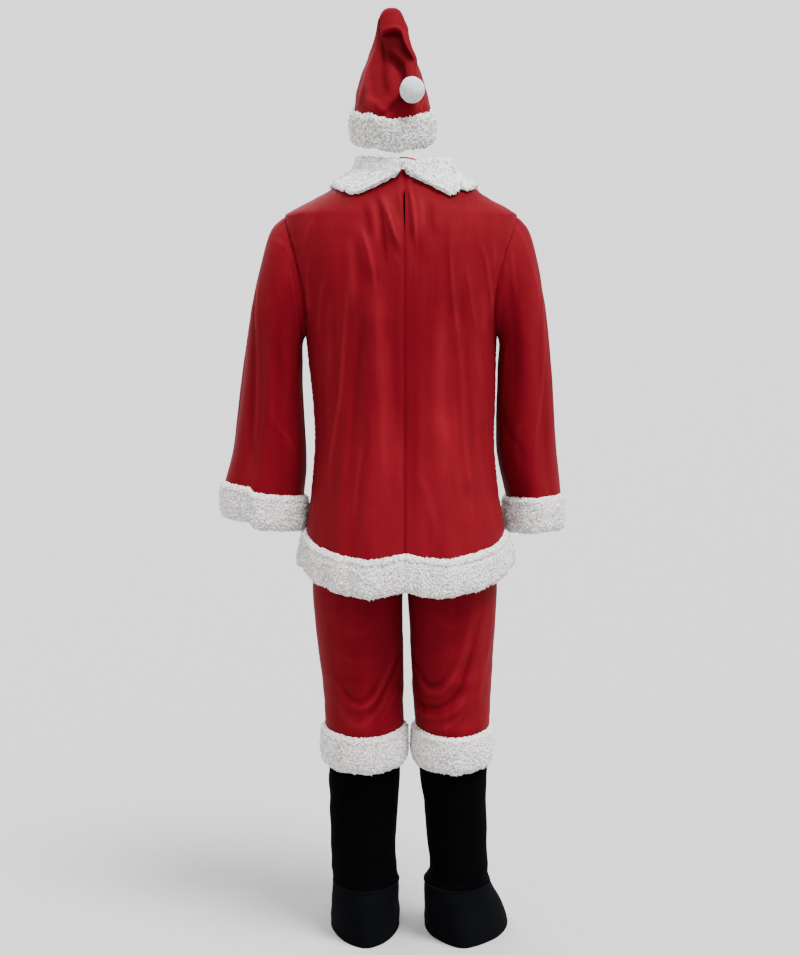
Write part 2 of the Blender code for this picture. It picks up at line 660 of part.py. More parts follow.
def make_waistband(edges, red):
    """The elastic casing above both legs' top edges."""
    ring = np.concatenate([edges[1][:-1], edges[-1][:0:-1]])
    middle = ring.mean(axis=0)
    out = unit((ring - middle) * np.array([1.0, 1.0, 0.0]))
    low = ring + np.array([0.0, 0.0, SEAM_GAP])
    rise = np.array([0.0, 0.0, WAISTBAND_HEIGHT])
    corners = [low, low + rise, low + rise - out * BAND_CLOTH, low - out * BAND_CLOTH]
    add_loft("waistband", np.stack(corners, axis=1), red, ring=True)


# ---------------------------------------------------------------- boot covers
def make_boot(side, label, black):
    count = BOOT_COLUMNS
    angle = 2 * math.pi * np.arange(count) / count  # 0 at the back, 90 degrees outside, 180 at the toes
    column = 1 if side > 0 else 3
    rows = []
    for i, row in enumerate(SHAFTS):
        tilt = ANKLE_TILT * ease(i / (len(SHAFTS) - 1.0))
        x = side * (row[column] + row[column + 1] * np.sin(angle))
        y = row[6] + row[5] * np.cos(angle)
        rows.append(stack(x, y, row[0] - tilt * (y - row[6])))
    ankle = rows[-1]
    toe_out = TOE_OUT[side]
    forward = np.array([side * math.sin(toe_out), -math.cos(toe_out), 0.0])
    outside = np.array([side * math.cos(toe_out), math.sin(toe_out), 0.0])
    heel = np.array([side * HEEL_X[side], HEEL_Y, 0.0])
    share = (1 - np.cos(angle)) / 2
    half_width = smooth(SOLE, 1 if side > 0 else 2, share)
    rounded = np.sign(np.sin(angle)) * np.abs(np.sin(angle)) ** SOLE_ROUNDNESS
    sole = (
        heel
        + (share * FOOT_LENGTH)[:, None] * forward
        + (half_width * rounded)[:, None] * outside
    )
    for way_out, way_up in FOOT_PROFILE[1:]:
        ring = ankle + (sole - ankle) * way_out
        ring[:, 2] = ankle[:, 2] * way_up
        rows.append(ring)
    outer = np.array(rows)
    normals = grid_normals(outer, True, outer.mean(axis=1))
    inner = outer - normals * BOOT_CLOTH
    inner[-1, :, 2] = 0.0
    seam = len(SHAFTS) - 1
    shaft = pull(outer[: seam + 1], inner[: seam + 1], 0, "last", SEAM_GAP / 2)
    foot = pull(outer[seam:], inner[seam:], 0, "first", SEAM_GAP / 2)
    for name, (out_grid, in_grid) in (("shaft", shaft), ("foot", foot)):
        add_wall(
            f"boot_{name}_{label}",
            closed_columns(out_grid),
            closed_columns(in_grid),
            black,
            open_rows=0,
        )


# ---------------------------------------------------------------- hat
def hat_frame(pitch, lean):
    """A ring's width, depth and length directions: pitched about X, then leaned about Y."""
    p, q = math.radians(pitch), math.radians(lean)
    turn = np.array([[math.cos(q), 0, math.sin(q)], [0, 1, 0], [-math.sin(q), 0, math.cos(q)]])
    width = turn @ np.array([1.0, 0.0, 0.0])
    depth = turn @ np.array([0.0, math.cos(p), -math.sin(p)])
    length = turn @ np.array([0.0, math.sin(p), math.cos(p)])
    return width, depth, length


def make_hat(red, white):
    count = HAT_COLUMNS
    angle = 2 * math.pi * np.arange(count) / count
    outer, inner = [], []
    for x, y, z, half_width, half_depth, pitch, lean in HAT:
        width, depth, _ = hat_frame(pitch, lean)
        centre = np.array([x, y, z])
        for rings, less in ((outer, 0.0), (inner, CLOTH)):
            rings.append(
                centre
                + (half_width - less) * np.cos(angle)[:, None] * width
                + (half_depth - less) * np.sin(angle)[:, None] * depth
            )
    outer, inner = np.array(outer), np.array(inner)
    _, _, tip = hat_frame(*HAT[-1][5:])
    inner[-1] -= tip * CLOTH
    add_wall("hat_crown", closed_columns(outer), closed_columns(inner), red, 0, capped=True)
    _, _, length = hat_frame(*HAT[0][5:])
    out = unit(outer[0] - outer[0].mean(axis=0))
    sections = band_sections(outer[0], -length, out, HAT_BAND_HEIGHT)
    add_loft("hat_band", sections, white, ring=True)


def make_pompom(white):
    """A clipped ball of yarn hung on the crown's tip: a sphere with a soft, uneven surface."""
    rings, segments = POMPOM_RINGS, POMPOM_SEGMENTS
    width, depth, length = hat_frame(*HAT[-1][5:])
    tip = np.array(HAT[-1][:3])
    centre = tip + length * (POMPOM_RADIUS + SEAM_GAP)
    points = []
    for i in range(1, rings):
        polar = math.pi * i / rings
        for j in range(segments):
            around = 2 * math.pi * (j + 0.5 * (i % 2)) / segments
            radius = POMPOM_RADIUS * (1.0 - POMPOM_UNEVEN * (1 + math.sin(3 * around + 2 * polar)))
            across = math.cos(around) * width + math.sin(around) * depth
            points.append(centre + radius * (math.sin(polar) * across - math.cos(polar) * length))
    top, bottom = len(points), len(points) + 1
    points.append(centre - POMPOM_RADIUS * length)
    points.append(centre + POMPOM_RADIUS * length)
    faces = []
    for j in range(segments):
        k = (j + 1) % segments
        faces.append([top, j, k])
        faces.append([bottom, (rings - 2) * segments + k, (rings - 2) * segments + j])
        for i in range(rings - 2):
            row, below = i * segments, (i + 1) * segments
            faces.append([row + j, below + j, below + k, row + k])
    add_object("hat_pompom", np.array(points), faces, white)


# ---------------------------------------------------------------- the suit
def main():
    for old in list(bpy.data.objects):
        bpy.data.objects.remove(old, do_unlink=True)
    suit = bpy.data.objects.new("suit", None)
    suit.location.z = -SHOULDER_HEIGHT
    bpy.context.scene.collection.objects.link(suit)
    red = material("red_cloth", RED, 0.75)
    white = material("white_plush", WHITE, 0.95)
    black = material("black_cloth", BLACK, 0.85)
    sides = ((1, "left", LEFT_SLEEVE), (-1, "right", RIGHT_SLEEVE))
    armholes = {side: make_sleeve(side, label, table, red, white) for side, label, table in sides}
    make_body(red, white, armholes)
    waist_edges = {}
    for side, label, _ in sides:
        make_collar(side, label, white)
        waist_edges[side] = make_trousers(side, label, red, white)
        make_boot(side, label, black)
    make_waistband(waist_edges, red)
    make_hat(red, white)
    make_pompom(white)


main()
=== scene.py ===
"""The looks of the santa suit: knitted red cloth, curly white plush, a yarn pompom and black boot covers.

Each piece repeats the form of its CAD solid from the same tables, a few values aside, with finer rows
and columns, and adds the creases, seams and pile. Heights in the tables are above the floor;
SHOULDER_HEIGHT turns them into the frame's, whose origin is the middle of the shoulders. The wearer
faces -Y and their left is +X.
"""

import json
import math

import bpy
import mathutils
import numpy as np
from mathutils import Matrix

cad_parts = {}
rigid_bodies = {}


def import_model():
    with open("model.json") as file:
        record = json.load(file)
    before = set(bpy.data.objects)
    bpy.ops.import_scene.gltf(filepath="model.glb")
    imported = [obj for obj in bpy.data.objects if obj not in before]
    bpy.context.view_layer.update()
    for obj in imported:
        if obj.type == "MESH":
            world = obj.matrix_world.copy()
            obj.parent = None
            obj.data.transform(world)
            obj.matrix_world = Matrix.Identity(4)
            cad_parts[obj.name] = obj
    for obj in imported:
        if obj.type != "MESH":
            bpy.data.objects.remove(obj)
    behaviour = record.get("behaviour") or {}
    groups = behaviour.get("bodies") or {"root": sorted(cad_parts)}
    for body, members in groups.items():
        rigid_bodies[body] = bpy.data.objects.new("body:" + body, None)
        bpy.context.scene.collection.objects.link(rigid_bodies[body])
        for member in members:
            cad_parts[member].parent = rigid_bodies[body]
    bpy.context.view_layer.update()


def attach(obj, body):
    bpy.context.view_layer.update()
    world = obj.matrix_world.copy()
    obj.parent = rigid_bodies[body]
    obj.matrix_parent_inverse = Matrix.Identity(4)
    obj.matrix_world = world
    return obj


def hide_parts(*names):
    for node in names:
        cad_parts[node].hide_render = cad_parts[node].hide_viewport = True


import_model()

SIDES = ((1, "left"), (-1, "right"))
LEVEL = np.array([1.0, 1.0, 0.0])  # what is left of a direction once it is laid flat
DOWN = np.array([0.0, 0.0, -1.0])

# ---------------------------------------------------------------- dimensions shared with the CAD part
SHOULDER_HEIGHT = 1.470
SEAM_GAP = 0.0003
TIP_HEIGHT, ARMPIT_HEIGHT = 1.460, 1.223
ARMHOLE_BACK = {1: math.radians(27), -1: math.radians(30)}
ARMHOLE_FRONT = math.radians(31)
HEM_BAND_HEIGHT, CUFF_HEIGHT, LEG_BAND_HEIGHT, HAT_BAND_HEIGHT = 0.071, 0.068, 0.072, 0.060
PLUSH = 0.0135
COLLAR_ROLL, COLLAR_ROLL_SHARE, COLLAR_START = 0.011, 0.30, 0.03
COLLAR_POINT = {1: math.radians(29), -1: math.radians(28)}
WAISTBAND_HEIGHT, WAISTBAND_THICKNESS = 0.034, 0.0060
POMPOM_RADIUS = 0.0262

# ---------------------------------------------------------------- dimensions that differ from the CAD part's
CLOTH, BOOT_CLOTH = 0.0018, 0.0026  # thinner than its walls
SLIT_BOTTOM, SLIT_OPEN, SLIT_TAPER = 1.410, 0.0017, 0.070  # shorter, wider and tapering over more height
SLIT_TOP, SLIT_TOP_TAPER = 1.505, 0.012  # the slit closes again below this height
SLIT_COLUMNS, SLIT_REACH, SLIT_SINK = 12, 0.006, 0.0020
CENTRE_MEETS, CENTRE_MEETS_TAPER = 1.47, 0.02  # the seam's own gap closes above this height

# ---------------------------------------------------------------- camera
# These also turn what was read off the photo into places on the suit, in seen().
PHOTO_WIDTH, PHOTO_HEIGHT = 800, 955
FOCAL_PIXELS, SENSOR_WIDTH = 1600.0, 36.0
CAMERA_X, CAMERA_DISTANCE, CAMERA_HEIGHT = 0.009, 3.2, 1.223
CAMERA_TILT = 5.02  # degrees down from level

# ---------------------------------------------------------------- the CAD part's tables
# ARMHOLE_FADE has one more value here, and SEAT one more row, its last.
# height, half-width left, half-width right, depth to the back, depth to the front
BODY = (
    (0.733, 0.203, 0.207, 0.176, 0.165),
    (0.838, 0.197, 0.201, 0.164, 0.154),
    (0.923, 0.186, 0.187, 0.150, 0.142),
    (1.028, 0.179, 0.179, 0.133, 0.131),
    (1.098, 0.183, 0.181, 0.128, 0.130),
    (1.173, 0.191, 0.182, 0.130, 0.134),
    (1.223, 0.196, 0.184, 0.133, 0.137),
    (1.273, 0.209, 0.193, 0.136, 0.138),
    (1.323, 0.224, 0.208, 0.137, 0.135),
    (1.373, 0.237, 0.222, 0.135, 0.128),
    (1.423, 0.241, 0.228, 0.128, 0.115),
    (1.460, 0.237, 0.223, 0.116, 0.101),
    (1.478, 0.209, 0.199, 0.108, 0.093),
    (1.493, 0.180, 0.170, 0.099, 0.085),
    (1.513, 0.143, 0.140, 0.086, 0.073),
    (1.533, 0.107, 0.106, 0.073, 0.060),
    (1.555, 0.078, 0.078, 0.060, 0.048),
)
# degrees round from the centre back, height
NECKLINE = ((0, 1.547), (50, 1.551), (90, 1.553), (130, 1.541), (180, 1.518))
HEMLINE = ((0, 0.808), (20, 0.797), (55, 0.811), (90, 0.835), (180, 0.823))
# x and height at the top, x and height at the bottom, half-width, how far it stands out
BACK_FOLDS = (
    (0.042, 1.503, 0.006, 1.373, 0.012, 0.005),
    (0.092, 1.453, 0.060, 1.323, 0.015, 0.007),
    (0.059, 1.353, 0.070, 0.673, 0.022, 0.010),
    (0.110, 1.153, 0.125, 0.673, 0.020, 0.006),
    (-0.024, 1.473, -0.034, 1.373, 0.012, 0.004),
    (-0.092, 1.453, -0.100, 1.263, 0.014, 0.006),
    (-0.100, 1.303, -0.122, 0.913, 0.018, 0.006),
    (-0.125, 1.383, -0.150, 1.023, 0.014, 0.005),
    (-0.078, 1.093, -0.080, 0.673, 0.022, 0.009),
    (0.000, 1.123, 0.000, 0.673, 0.022, -0.005),
    (0.030, 1.273, 0.012, 0.973, 0.016, -0.004),
)
FRONT_FOLDS = (
    (0.075, 1.393, 0.070, 1.123, 0.018, 0.006),
    (-0.080, 1.403, -0.078, 1.153, 0.018, 0.006),
    (0.065, 1.123, 0.085, 0.673, 0.022, 0.009),
    (-0.070, 1.103, -0.082, 0.673, 0.022, 0.009),
    (0.000, 1.073, 0.000, 0.673, 0.024, -0.004),
)
FOLD_FADE = 0.045
# share of the fall, height above the jacket, share of the roll over the neckline
COLLAR_PROFILE = (
    (-0.02, 0.0012, 1.0),
    (-0.04, 0.0090, 1.0),
    (0.06, 0.0150, 1.0),
    (0.22, 0.0135, 1.0),
    (0.50, 0.0115, 0.0),
    (0.80, 0.0110, 0.0),
    (0.97, 0.0085, 0.0),
    (1.00, 0.0040, 0.0),
    (0.92, 0.0016, 0.0),
    (0.60, 0.0016, 0.0),
    (0.30, 0.0016, 0.0),
    (0.06, 0.0010, 1.0),
)
COLLAR_FALL = ((0, 0.052), (28, 0.055), (60, 0.042), (90, 0.038), (120, 0.045), (180, 0.066))
# Sleeve rings: outer x, outer height, inner x, inner height, centre y, half-depth
LEFT_SLEEVE = (
    (0.2370, 1.460, 0.1960, 1.2230, 0.000, 0.062),
    (0.2600, 1.439, 0.2000, 1.2200, -0.001, 0.066),
    (0.2740, 1.409, 0.2020, 1.2130, -0.002, 0.068),
    (0.2840, 1.373, 0.2030, 1.2020, -0.004, 0.070),
    (0.2940, 1.333, 0.2035, 1.1850, -0.006, 0.070),
    (0.3045, 1.288, 0.2040, 1.1610, -0.009, 0.070),
    (0.3140, 1.238, 0.2040, 1.1290, -0.013, 0.068),
    (0.3235, 1.181, 0.2030, 1.0910, -0.018, 0.067),
    (0.3330, 1.118, 0.2010, 1.0490, -0.025, 0.069),
    (0.3420, 1.055, 0.1990, 1.0090, -0.032, 0.073),
    (0.3515, 0.995, 0.1985, 0.9690, -0.039, 0.078),
    (0.3715, 0.926, 0.2045, 0.9030, -0.048, 0.088),
)
RIGHT_SLEEVE = (
    (0.2230, 1.460, 0.1840, 1.2230, 0.000, 0.064),
    (0.2440, 1.437, 0.1880, 1.2200, -0.001, 0.066),
    (0.2560, 1.405, 0.1885, 1.2130, -0.002, 0.068),
    (0.2645, 1.369, 0.1885, 1.2020, -0.004, 0.069),
    (0.2725, 1.327, 0.1880, 1.1850, -0.006, 0.069),
    (0.2815, 1.281, 0.1870, 1.1610, -0.010, 0.068),
    (0.2880, 1.228, 0.1860, 1.1290, -0.015, 0.067),
    (0.2945, 1.168, 0.1850, 1.0910, -0.021, 0.067),
    (0.3000, 1.103, 0.1850, 1.0490, -0.029, 0.069),
    (0.3045, 1.039, 0.1860, 1.0070, -0.037, 0.072),
    (0.3105, 0.977, 0.1920, 0.9630, -0.046, 0.075),
    (0.3190, 0.905, 0.2080, 0.8980, -0.055, 0.079),
)
ARMHOLE_FADE = (1.0, 0.72, 0.45, 0.22, 0.08, 0.0)  # how much of the armhole's own form each ring keeps
SLEEVE_FOLD_GROWTH = 3.0
# degrees round from the outside (90 is the back), first ring, half-width in degrees, depth
SLEEVE_FOLDS = (
    (58, 4, 13, -0.008),
    (92, 3, 18, 0.005),
    (128, 6, 14, -0.004),
    (232, 5, 16, -0.006),
    (272, 5, 18, 0.005),
    (310, 6, 14, -0.004),
)
# height, half-width, depth to the back, depth to the front, share of the seat's form
SEAT = (
    (1.033, 0.150, 0.110, 0.106, 1.00),
    (0.983, 0.160, 0.116, 0.112, 1.00),
    (0.933, 0.168, 0.124, 0.116, 0.98),
    (0.883, 0.174, 0.130, 0.120, 0.92),
    (0.838, 0.178, 0.132, 0.122, 0.80),
    (0.803, 0.180, 0.132, 0.122, 0.58),
    (0.785, 0.181, 0.130, 0.121, 0.34),
    (0.773, 0.181, 0.129, 0.120, 0.00),
)
# height, left centre, left half-width, right centre, right half-width, half-depth, centre y
LEGS = (
    (0.773, 0.0915, 0.0912, 0.0915, 0.0912, 0.1000, 0.004),
    (0.733, 0.0935, 0.0910, 0.0950, 0.0908, 0.0980, 0.003),
    (0.693, 0.0940, 0.0900, 0.0965, 0.0895, 0.0960, 0.002),
    (0.643, 0.0915, 0.0880, 0.0970, 0.0865, 0.0930, 0.001),
    (0.593, 0.0880, 0.0860, 0.0965, 0.0835, 0.0910, 0.000),
    (0.548, 0.0850, 0.0830, 0.0960, 0.0810, 0.0890, -0.002),
    (0.508, 0.0830, 0.0805, 0.0955, 0.0790, 0.0860, -0.002),
    (0.473, 0.0820, 0.0795, 0.0965, 0.0770, 0.0840, -0.001),
    (0.440, 0.0815, 0.0800, 0.0977, 0.0755, 0.0835, 0.000),
)
# Sagging folds: degrees round (90 the back, 270 the front), height, half-width in degrees and height, out
LEG_FOLDS = (
    (70, 0.613, 60, 0.016, 0.005),
    (110, 0.563, 60, 0.015, 0.005),
    (80, 0.518, 70, 0.014, 0.005),
    (100, 0.473, 70, 0.012, 0.005),
    (275, 0.583, 70, 0.018, 0.006),
    (265, 0.513, 70, 0.015, 0.005),
    (95, 0.693, 45, 0.020, 0.004),
)
SHAFTS = (
    (0.398, 0.0815, 0.0750, 0.0977, 0.0705, 0.0770, 0.000),
    (0.333, 0.0812, 0.0728, 0.0990, 0.0685, 0.0740, 0.000),
    (0.273, 0.0825, 0.0695, 0.1035, 0.0635, 0.0700, 0.001),
    (0.203, 0.0840, 0.0665, 0.1075, 0.0610, 0.0680, 0.004),
    (0.148, 0.0825, 0.0660, 0.1120, 0.0590, 0.0680, 0.006),
    (0.120, 0.0785, 0.0670, 0.1070, 0.0665, 0.0710, 0.008),
)
ANKLE_TILT = 0.06
TOE_OUT = {1: math.radians(2), -1: math.radians(5)}
HEEL_X = {1: 0.0770, -1: 0.1165}
HEEL_Y, FOOT_LENGTH = 0.082, 0.290
# share of the foot's length from the heel, half-width left, half-width right
SOLE = (
    (0.00, 0.034, 0.036),
    (0.08, 0.053, 0.057),
    (0.25, 0.065, 0.079),
    (0.50, 0.072, 0.087),
    (0.75, 0.067, 0.078),
    (1.00, 0.036, 0.040),
)
SOLE_ROUNDNESS = 0.75
# share of the way from the ankle out to the sole's edge, share of the ankle's height
FOOT_PROFILE = ((0.0, 1.0), (0.22, 0.80), (0.48, 0.58), (0.76, 0.35), (0.94, 0.15), (1.0, 0.0))
# x, y, height of a ring's centre, half-width, half-depth, pitch and lean of the ring in degrees
HAT = (
    (0.0235, 0.000, 1.667, 0.0760, 0.0900, 16, 0),
    (0.0240, 0.003, 1.689, 0.0715, 0.0820, 14, 0),
    (0.0245, 0.005, 1.713, 0.0650, 0.0700, 12, 0),
    (0.0247, 0.006, 1.739, 0.0565, 0.0560, 9, 0),
    (0.0250, 0.006, 1.765, 0.0465, 0.0420, 6, 0),
    (0.0255, 0.005, 1.791, 0.0375, 0.0290, 3, 0),
    (0.0260, 0.004, 1.817, 0.0300, 0.0170, 0, 0),
    (0.0262, 0.004, 1.839, 0.0260, 0.0085, 4, 0),
    (0.0262, 0.008, 1.8495, 0.0240, 0.0065, 40, 0),
    (0.0260, 0.0155, 1.8535, 0.0225, 0.0062, 85, 0),
    (0.0255, 0.0235, 1.8495, 0.0225, 0.0062, 130, 0),
    (0.0245, 0.0285, 1.839, 0.0230, 0.0064, 165, 4),
    (0.0195, 0.0375, 1.813, 0.0270, 0.0070, 163, 12),
    (0.0150, 0.0480, 1.789, 0.0265, 0.0074, 158, 24),
    (0.0022, 0.0580, 1.768, 0.0200, 0.0074, 156, 31),
    (-0.0125, 0.0700, 1.7440, 0.0125, 0.0070, 152, 20),
    (-0.0124, 0.0835, 1.7151, 0.0085, 0.0060, 150, 5),
)
# A plush band's cross-section: share of its thickness outwards, share of its height downwards
BAND_PROFILE = (
    (-0.28, 0.00),
    (0.26, 0.00),
    (0.62, 0.16),
    (0.70, 0.50),
    (0.60, 0.84),
    (0.20, 1.00),
    (-0.20, 0.97),
    (-0.34, 0.50),
)

# ---------------------------------------------------------------- creases, only here
# row of the photo, and how far behind the shoulders' middle the jacket's back lies there
BACK_DEPTHS = ((195, 0.100), (240, 0.128), (330, 0.135), (440, 0.132), (550, 0.165))


def seen(*pixels):
    """Heights and places across the back, to a millimetre, of points read off the photo as (column, row)."""
    tilt = math.radians(CAMERA_TILT)
    places = []
    for column, row in pixels:
        right = (column - PHOTO_WIDTH / 2) / FOCAL_PIXELS
        below = (row - PHOTO_HEIGHT / 2) / FOCAL_PIXELS
        depth = np.interp(row, *zip(*BACK_DEPTHS))
        reach = (CAMERA_DISTANCE - depth) / (math.cos(tilt) - below * math.sin(tilt))
        height = CAMERA_HEIGHT - reach * (math.sin(tilt) + below * math.cos(tilt))
        places.append((round(float(height), 3), round(float(CAMERA_X - reach * right), 3)))
    return places


# half-width, how far it stands out, skew of its flanks, then points along it from the top: those inside
# seen() were read off the photo, the others are given as height and x
BACK_CREASES = (
    (0.0042, 0.0036, 0.2, *seen((361, 223), (367, 242), (372, 262), (375, 285)), (1.290, 0.055)),
    (0.0100, 0.0026, 0.0, *seen((374, 272), (377, 305), (379, 345), (382, 400), (384, 450), (385, 520))),
    (0.0080, 0.0024, 0.0, *seen((349, 232), (350, 260), (351, 290), (351, 320))),
    (0.0042, 0.0032, -0.3, *seen((347, 270), (345, 310), (342, 350), (339, 395), (334, 425), (328, 460),
                                 (325, 490), (326, 515))),
    (0.0036, 0.0024, 0.3, *seen((325, 273), (321, 290), (318, 310), (316, 345))),
    (0.0060, 0.0018, 0.0, *seen((330, 290), (328, 320), (327, 350), (326, 400))),
    (0.0034, 0.0024, 0.0, *seen((312, 252), (307, 262), (305, 275), (306, 300), (309, 325))),
    (0.0036, 0.0024, 0.0, *seen((318, 213), (310, 222), (305, 235), (302, 250))),
    (0.0040, 0.0052, 0.2, (1.502, 0.047), *seen((388, 212), (392, 225), (396, 236), (400, 246), (402, 254))),
    (0.0032, 0.0028, 0.0, (1.502, 0.045), *seen((390, 207), (396, 213), (400, 218))),
    (0.0032, 0.0022, 0.0, (1.390, 0.022), *seen((397, 260), (401, 270))),
    (0.0060, -0.0038, 0.3, (1.510, 0.060), *seen((380, 212), (382, 228), (384, 250), (386, 275))),
    (0.0070, -0.0024, 0.0, *seen((366, 300), (361, 340), (357, 380), (354, 420), (350, 470), (345, 530))),
    (0.0050, 0.0018, 0.0, *seen((362, 440), (357, 480), (352, 530))),
    (0.0036, 0.0044, 0.2, (1.515, -0.010), *seen((414, 212), (415, 225), (416, 240), (417, 254))),
    (0.0050, -0.0036, 0.0, (1.515, -0.004), (1.436, -0.009), *seen((410, 250))),
    (0.0036, 0.0042, -0.3, *seen((451, 220), (450, 240), (450, 260), (451, 280), (454, 310), (457, 345),
                                 (461, 390), (464, 425), (468, 465), (472, 495), (478, 535))),
    (0.0070, -0.0022, 0.0, *seen((459, 270), (463, 320), (467, 370), (473, 440), (480, 510))),
    (0.0036, 0.0036, -0.3, *seen((465, 258), (467, 275), (471, 305), (475, 335), (479, 362), (484, 392),
                                 (487, 404))),
    (0.0034, 0.0038, -0.2, *seen((480, 236), (483, 246), (486, 258), (491, 285), (493, 300), (494, 330))),
    (0.0032, 0.0026, 0.0, *seen((493, 238), (496, 255), (495, 275))),
    (0.0070, 0.0020, 0.0, *seen((483, 285), (486, 320), (487, 345))),
    (0.0060, 0.0018, 0.0, *seen((452, 390), (457, 430), (459, 470), (462, 520))),
    (0.0150, -0.0018, 0.0, (1.360, -0.016), *seen((411, 380), (410, 460)), (0.780, -0.008)),
    (0.0150, 0.0022, 0.0, *seen((440, 300), (440, 380), (442, 460), (446, 540))),
    (0.0080, 0.0018, 0.0, *seen((418, 470), (428, 500), (440, 548))),
    (0.0070, -0.0030, 0.0, (1.505, 0.020), (1.470, 0.012), (1.430, 0.004)),
    (0.0080, 0.0030, 0.3, (1.492, 0.066), (1.462, 0.058), (1.430, 0.053), (1.380, 0.050)),
    (0.0080, -0.0030, 0.0, (1.492, 0.084), (1.450, 0.073), (1.400, 0.066)),
    (0.0070, 0.0030, 0.3, (1.500, -0.030), (1.470, -0.034), (1.420, -0.038)),
    (0.0080, -0.0028, 0.0, (1.498, -0.046), (1.460, -0.048), (1.400, -0.054)),
)
FRONT_CREASES = (
    (0.0070, 0.0035, 0.3, (1.440, 0.060), (1.380, 0.074), (1.300, 0.080), (1.150, 0.084), (0.900, 0.088)),
    (0.0080, -0.0040, -0.3, (1.420, 0.040), (1.340, 0.050), (1.200, 0.052), (1.000, 0.056)),
    (0.0060, 0.0035, -0.3, (1.445, -0.052), (1.390, -0.066), (1.300, -0.072), (1.120, -0.080)),
    (0.0090, -0.0040, 0.2, (1.400, -0.036), (1.300, -0.042), (1.150, -0.046), (0.900, -0.052)),
    (0.0060, 0.0032, 0.2, (1.430, 0.118), (1.370, 0.128), (1.280, 0.126), (1.120, 0.132), (0.960, 0.140)),
    (0.0060, 0.0032, -0.2, (1.430, -0.112), (1.370, -0.122), (1.280, -0.124), (1.120, -0.134)),
    (0.0055, 0.0028, 0.2, (1.420, 0.150), (1.370, 0.160), (1.320, 0.158), (1.250, 0.152)),
    (0.0055, 0.0028, -0.2, (1.420, -0.146), (1.365, -0.156), (1.300, -0.152)),
    (0.0110, 0.0040, 0.0, (1.150, 0.020), (1.000, 0.024), (0.830, 0.028)),
    (0.0100, 0.0035, 0.0, (1.220, -0.020), (1.050, -0.016), (0.840, -0.022)),
    (0.0120, -0.0035, 0.0, (1.080, 0.112), (0.960, 0.120), (0.850, 0.122)),
    (0.0120, -0.0035, 0.0, (1.050, -0.114), (0.940, -0.118), (0.850, -0.122)),
)
# half-width in degrees, how far it stands out, skew, then ring and degrees along it from the armhole
LEFT_SLEEVE_CREASES = (
    (5.0, 0.0032, 0.2, (3.2, 22), (4.6, 38), (6.0, 53), (7.4, 61), (8.7, 66), (10.1, 74), (10.9, 82)),
    (7.0, -0.0034, 0.0, (3.6, 12), (4.6, 26), (6.0, 41), (7.4, 49), (8.7, 54), (10.1, 61), (10.9, 68)),
    (5.0, 0.0022, 0.0, (0.0, 92), (0.6, 54), (1.4, 40)),
    (6.0, 0.0022, 0.2, (0.3, 50), (1.1, 100), (2.1, 138), (3.4, 150)),
    (12.0, -0.0022, 0.0, (1.0, 96), (3.0, 96), (5.6, 100), (8.0, 104)),
    (6.0, 0.0018, 0.0, (7.6, 90), (8.5, 101), (9.0, 127), (10.0, 140)),
    (9.0, 0.0018, 0.0, (4.4, 122), (7.5, 122), (10.9, 124)),
    (6.0, 0.0028, 0.2, (1.0, 250), (4.0, 246), (8.0, 240)),
    (5.0, 0.0026, 0.0, (0.3, 300), (2.0, 296), (4.0, 288)),
    (6.0, 0.0030, 0.3, (3.5, 290), (7.0, 294), (10.9, 296)),
    (6.0, -0.0030, 0.0, (5.0, 214), (8.0, 212), (10.9, 208)),
    (5.0, 0.0022, 0.0, (2.5, 172), (6.0, 174), (10.9, 172)),
    (5.0, 0.0022, 0.0, (4.0, 345), (7.0, 348), (10.9, 346)),
)
RIGHT_SLEEVE_CREASES = (
    (5.0, 0.0026, 0.0, (0.0, 54), (0.6, 70), (1.4, 84), (2.6, 92)),
    (4.5, 0.0026, 0.2, (0.0, 34), (1.0, 42), (2.1, 45), (3.1, 42), (3.9, 40), (5.0, 52), (6.1, 65)),
    (4.5, 0.0034, 0.3, (3.2, 20), (4.1, 25), (5.3, 35), (6.2, 41), (7.0, 49), (7.9, 60), (8.5, 68), (9.1, 75),
     (10.9, 86)),
    (15.0, -0.0032, 0.0, (0.3, 84), (1.8, 98), (3.3, 106), (6.1, 110), (8.2, 110)),
    (6.0, -0.0028, 0.2, (7.0, 150), (7.8, 142), (8.8, 122), (9.3, 106), (10.0, 100)),
    (7.0, 0.0024, 0.0, (3.6, 136), (6.0, 142), (8.0, 150)),
    (9.0, 0.0024, 0.0, (8.0, 108), (9.5, 116), (10.9, 120)),
    (5.0, 0.0022, 0.0, (2.2, 16), (5.0, 18), (10.9, 24)),
    (6.0, 0.0028, 0.2, (0.8, 262), (4.0, 256), (8.0, 250)),
    (5.0, 0.0026, 0.0, (0.2, 308), (2.0, 300), (4.4, 292)),
    (6.0, 0.0030, 0.3, (3.0, 284), (7.0, 288), (10.9, 290)),
    (6.0, -0.0030, 0.0, (4.6, 218), (8.0, 214), (10.9, 210)),
    (5.0, 0.0022, 0.0, (3.0, 178), (7.0, 174), (10.9, 174)),
)
# The left sleeve's overlap: degrees where its set-back half ends, how far that half lies in and up
SLEEVE_STEP = {1: (84, 0.0065, 0.0070), -1: (0, 0.0, 0.0)}
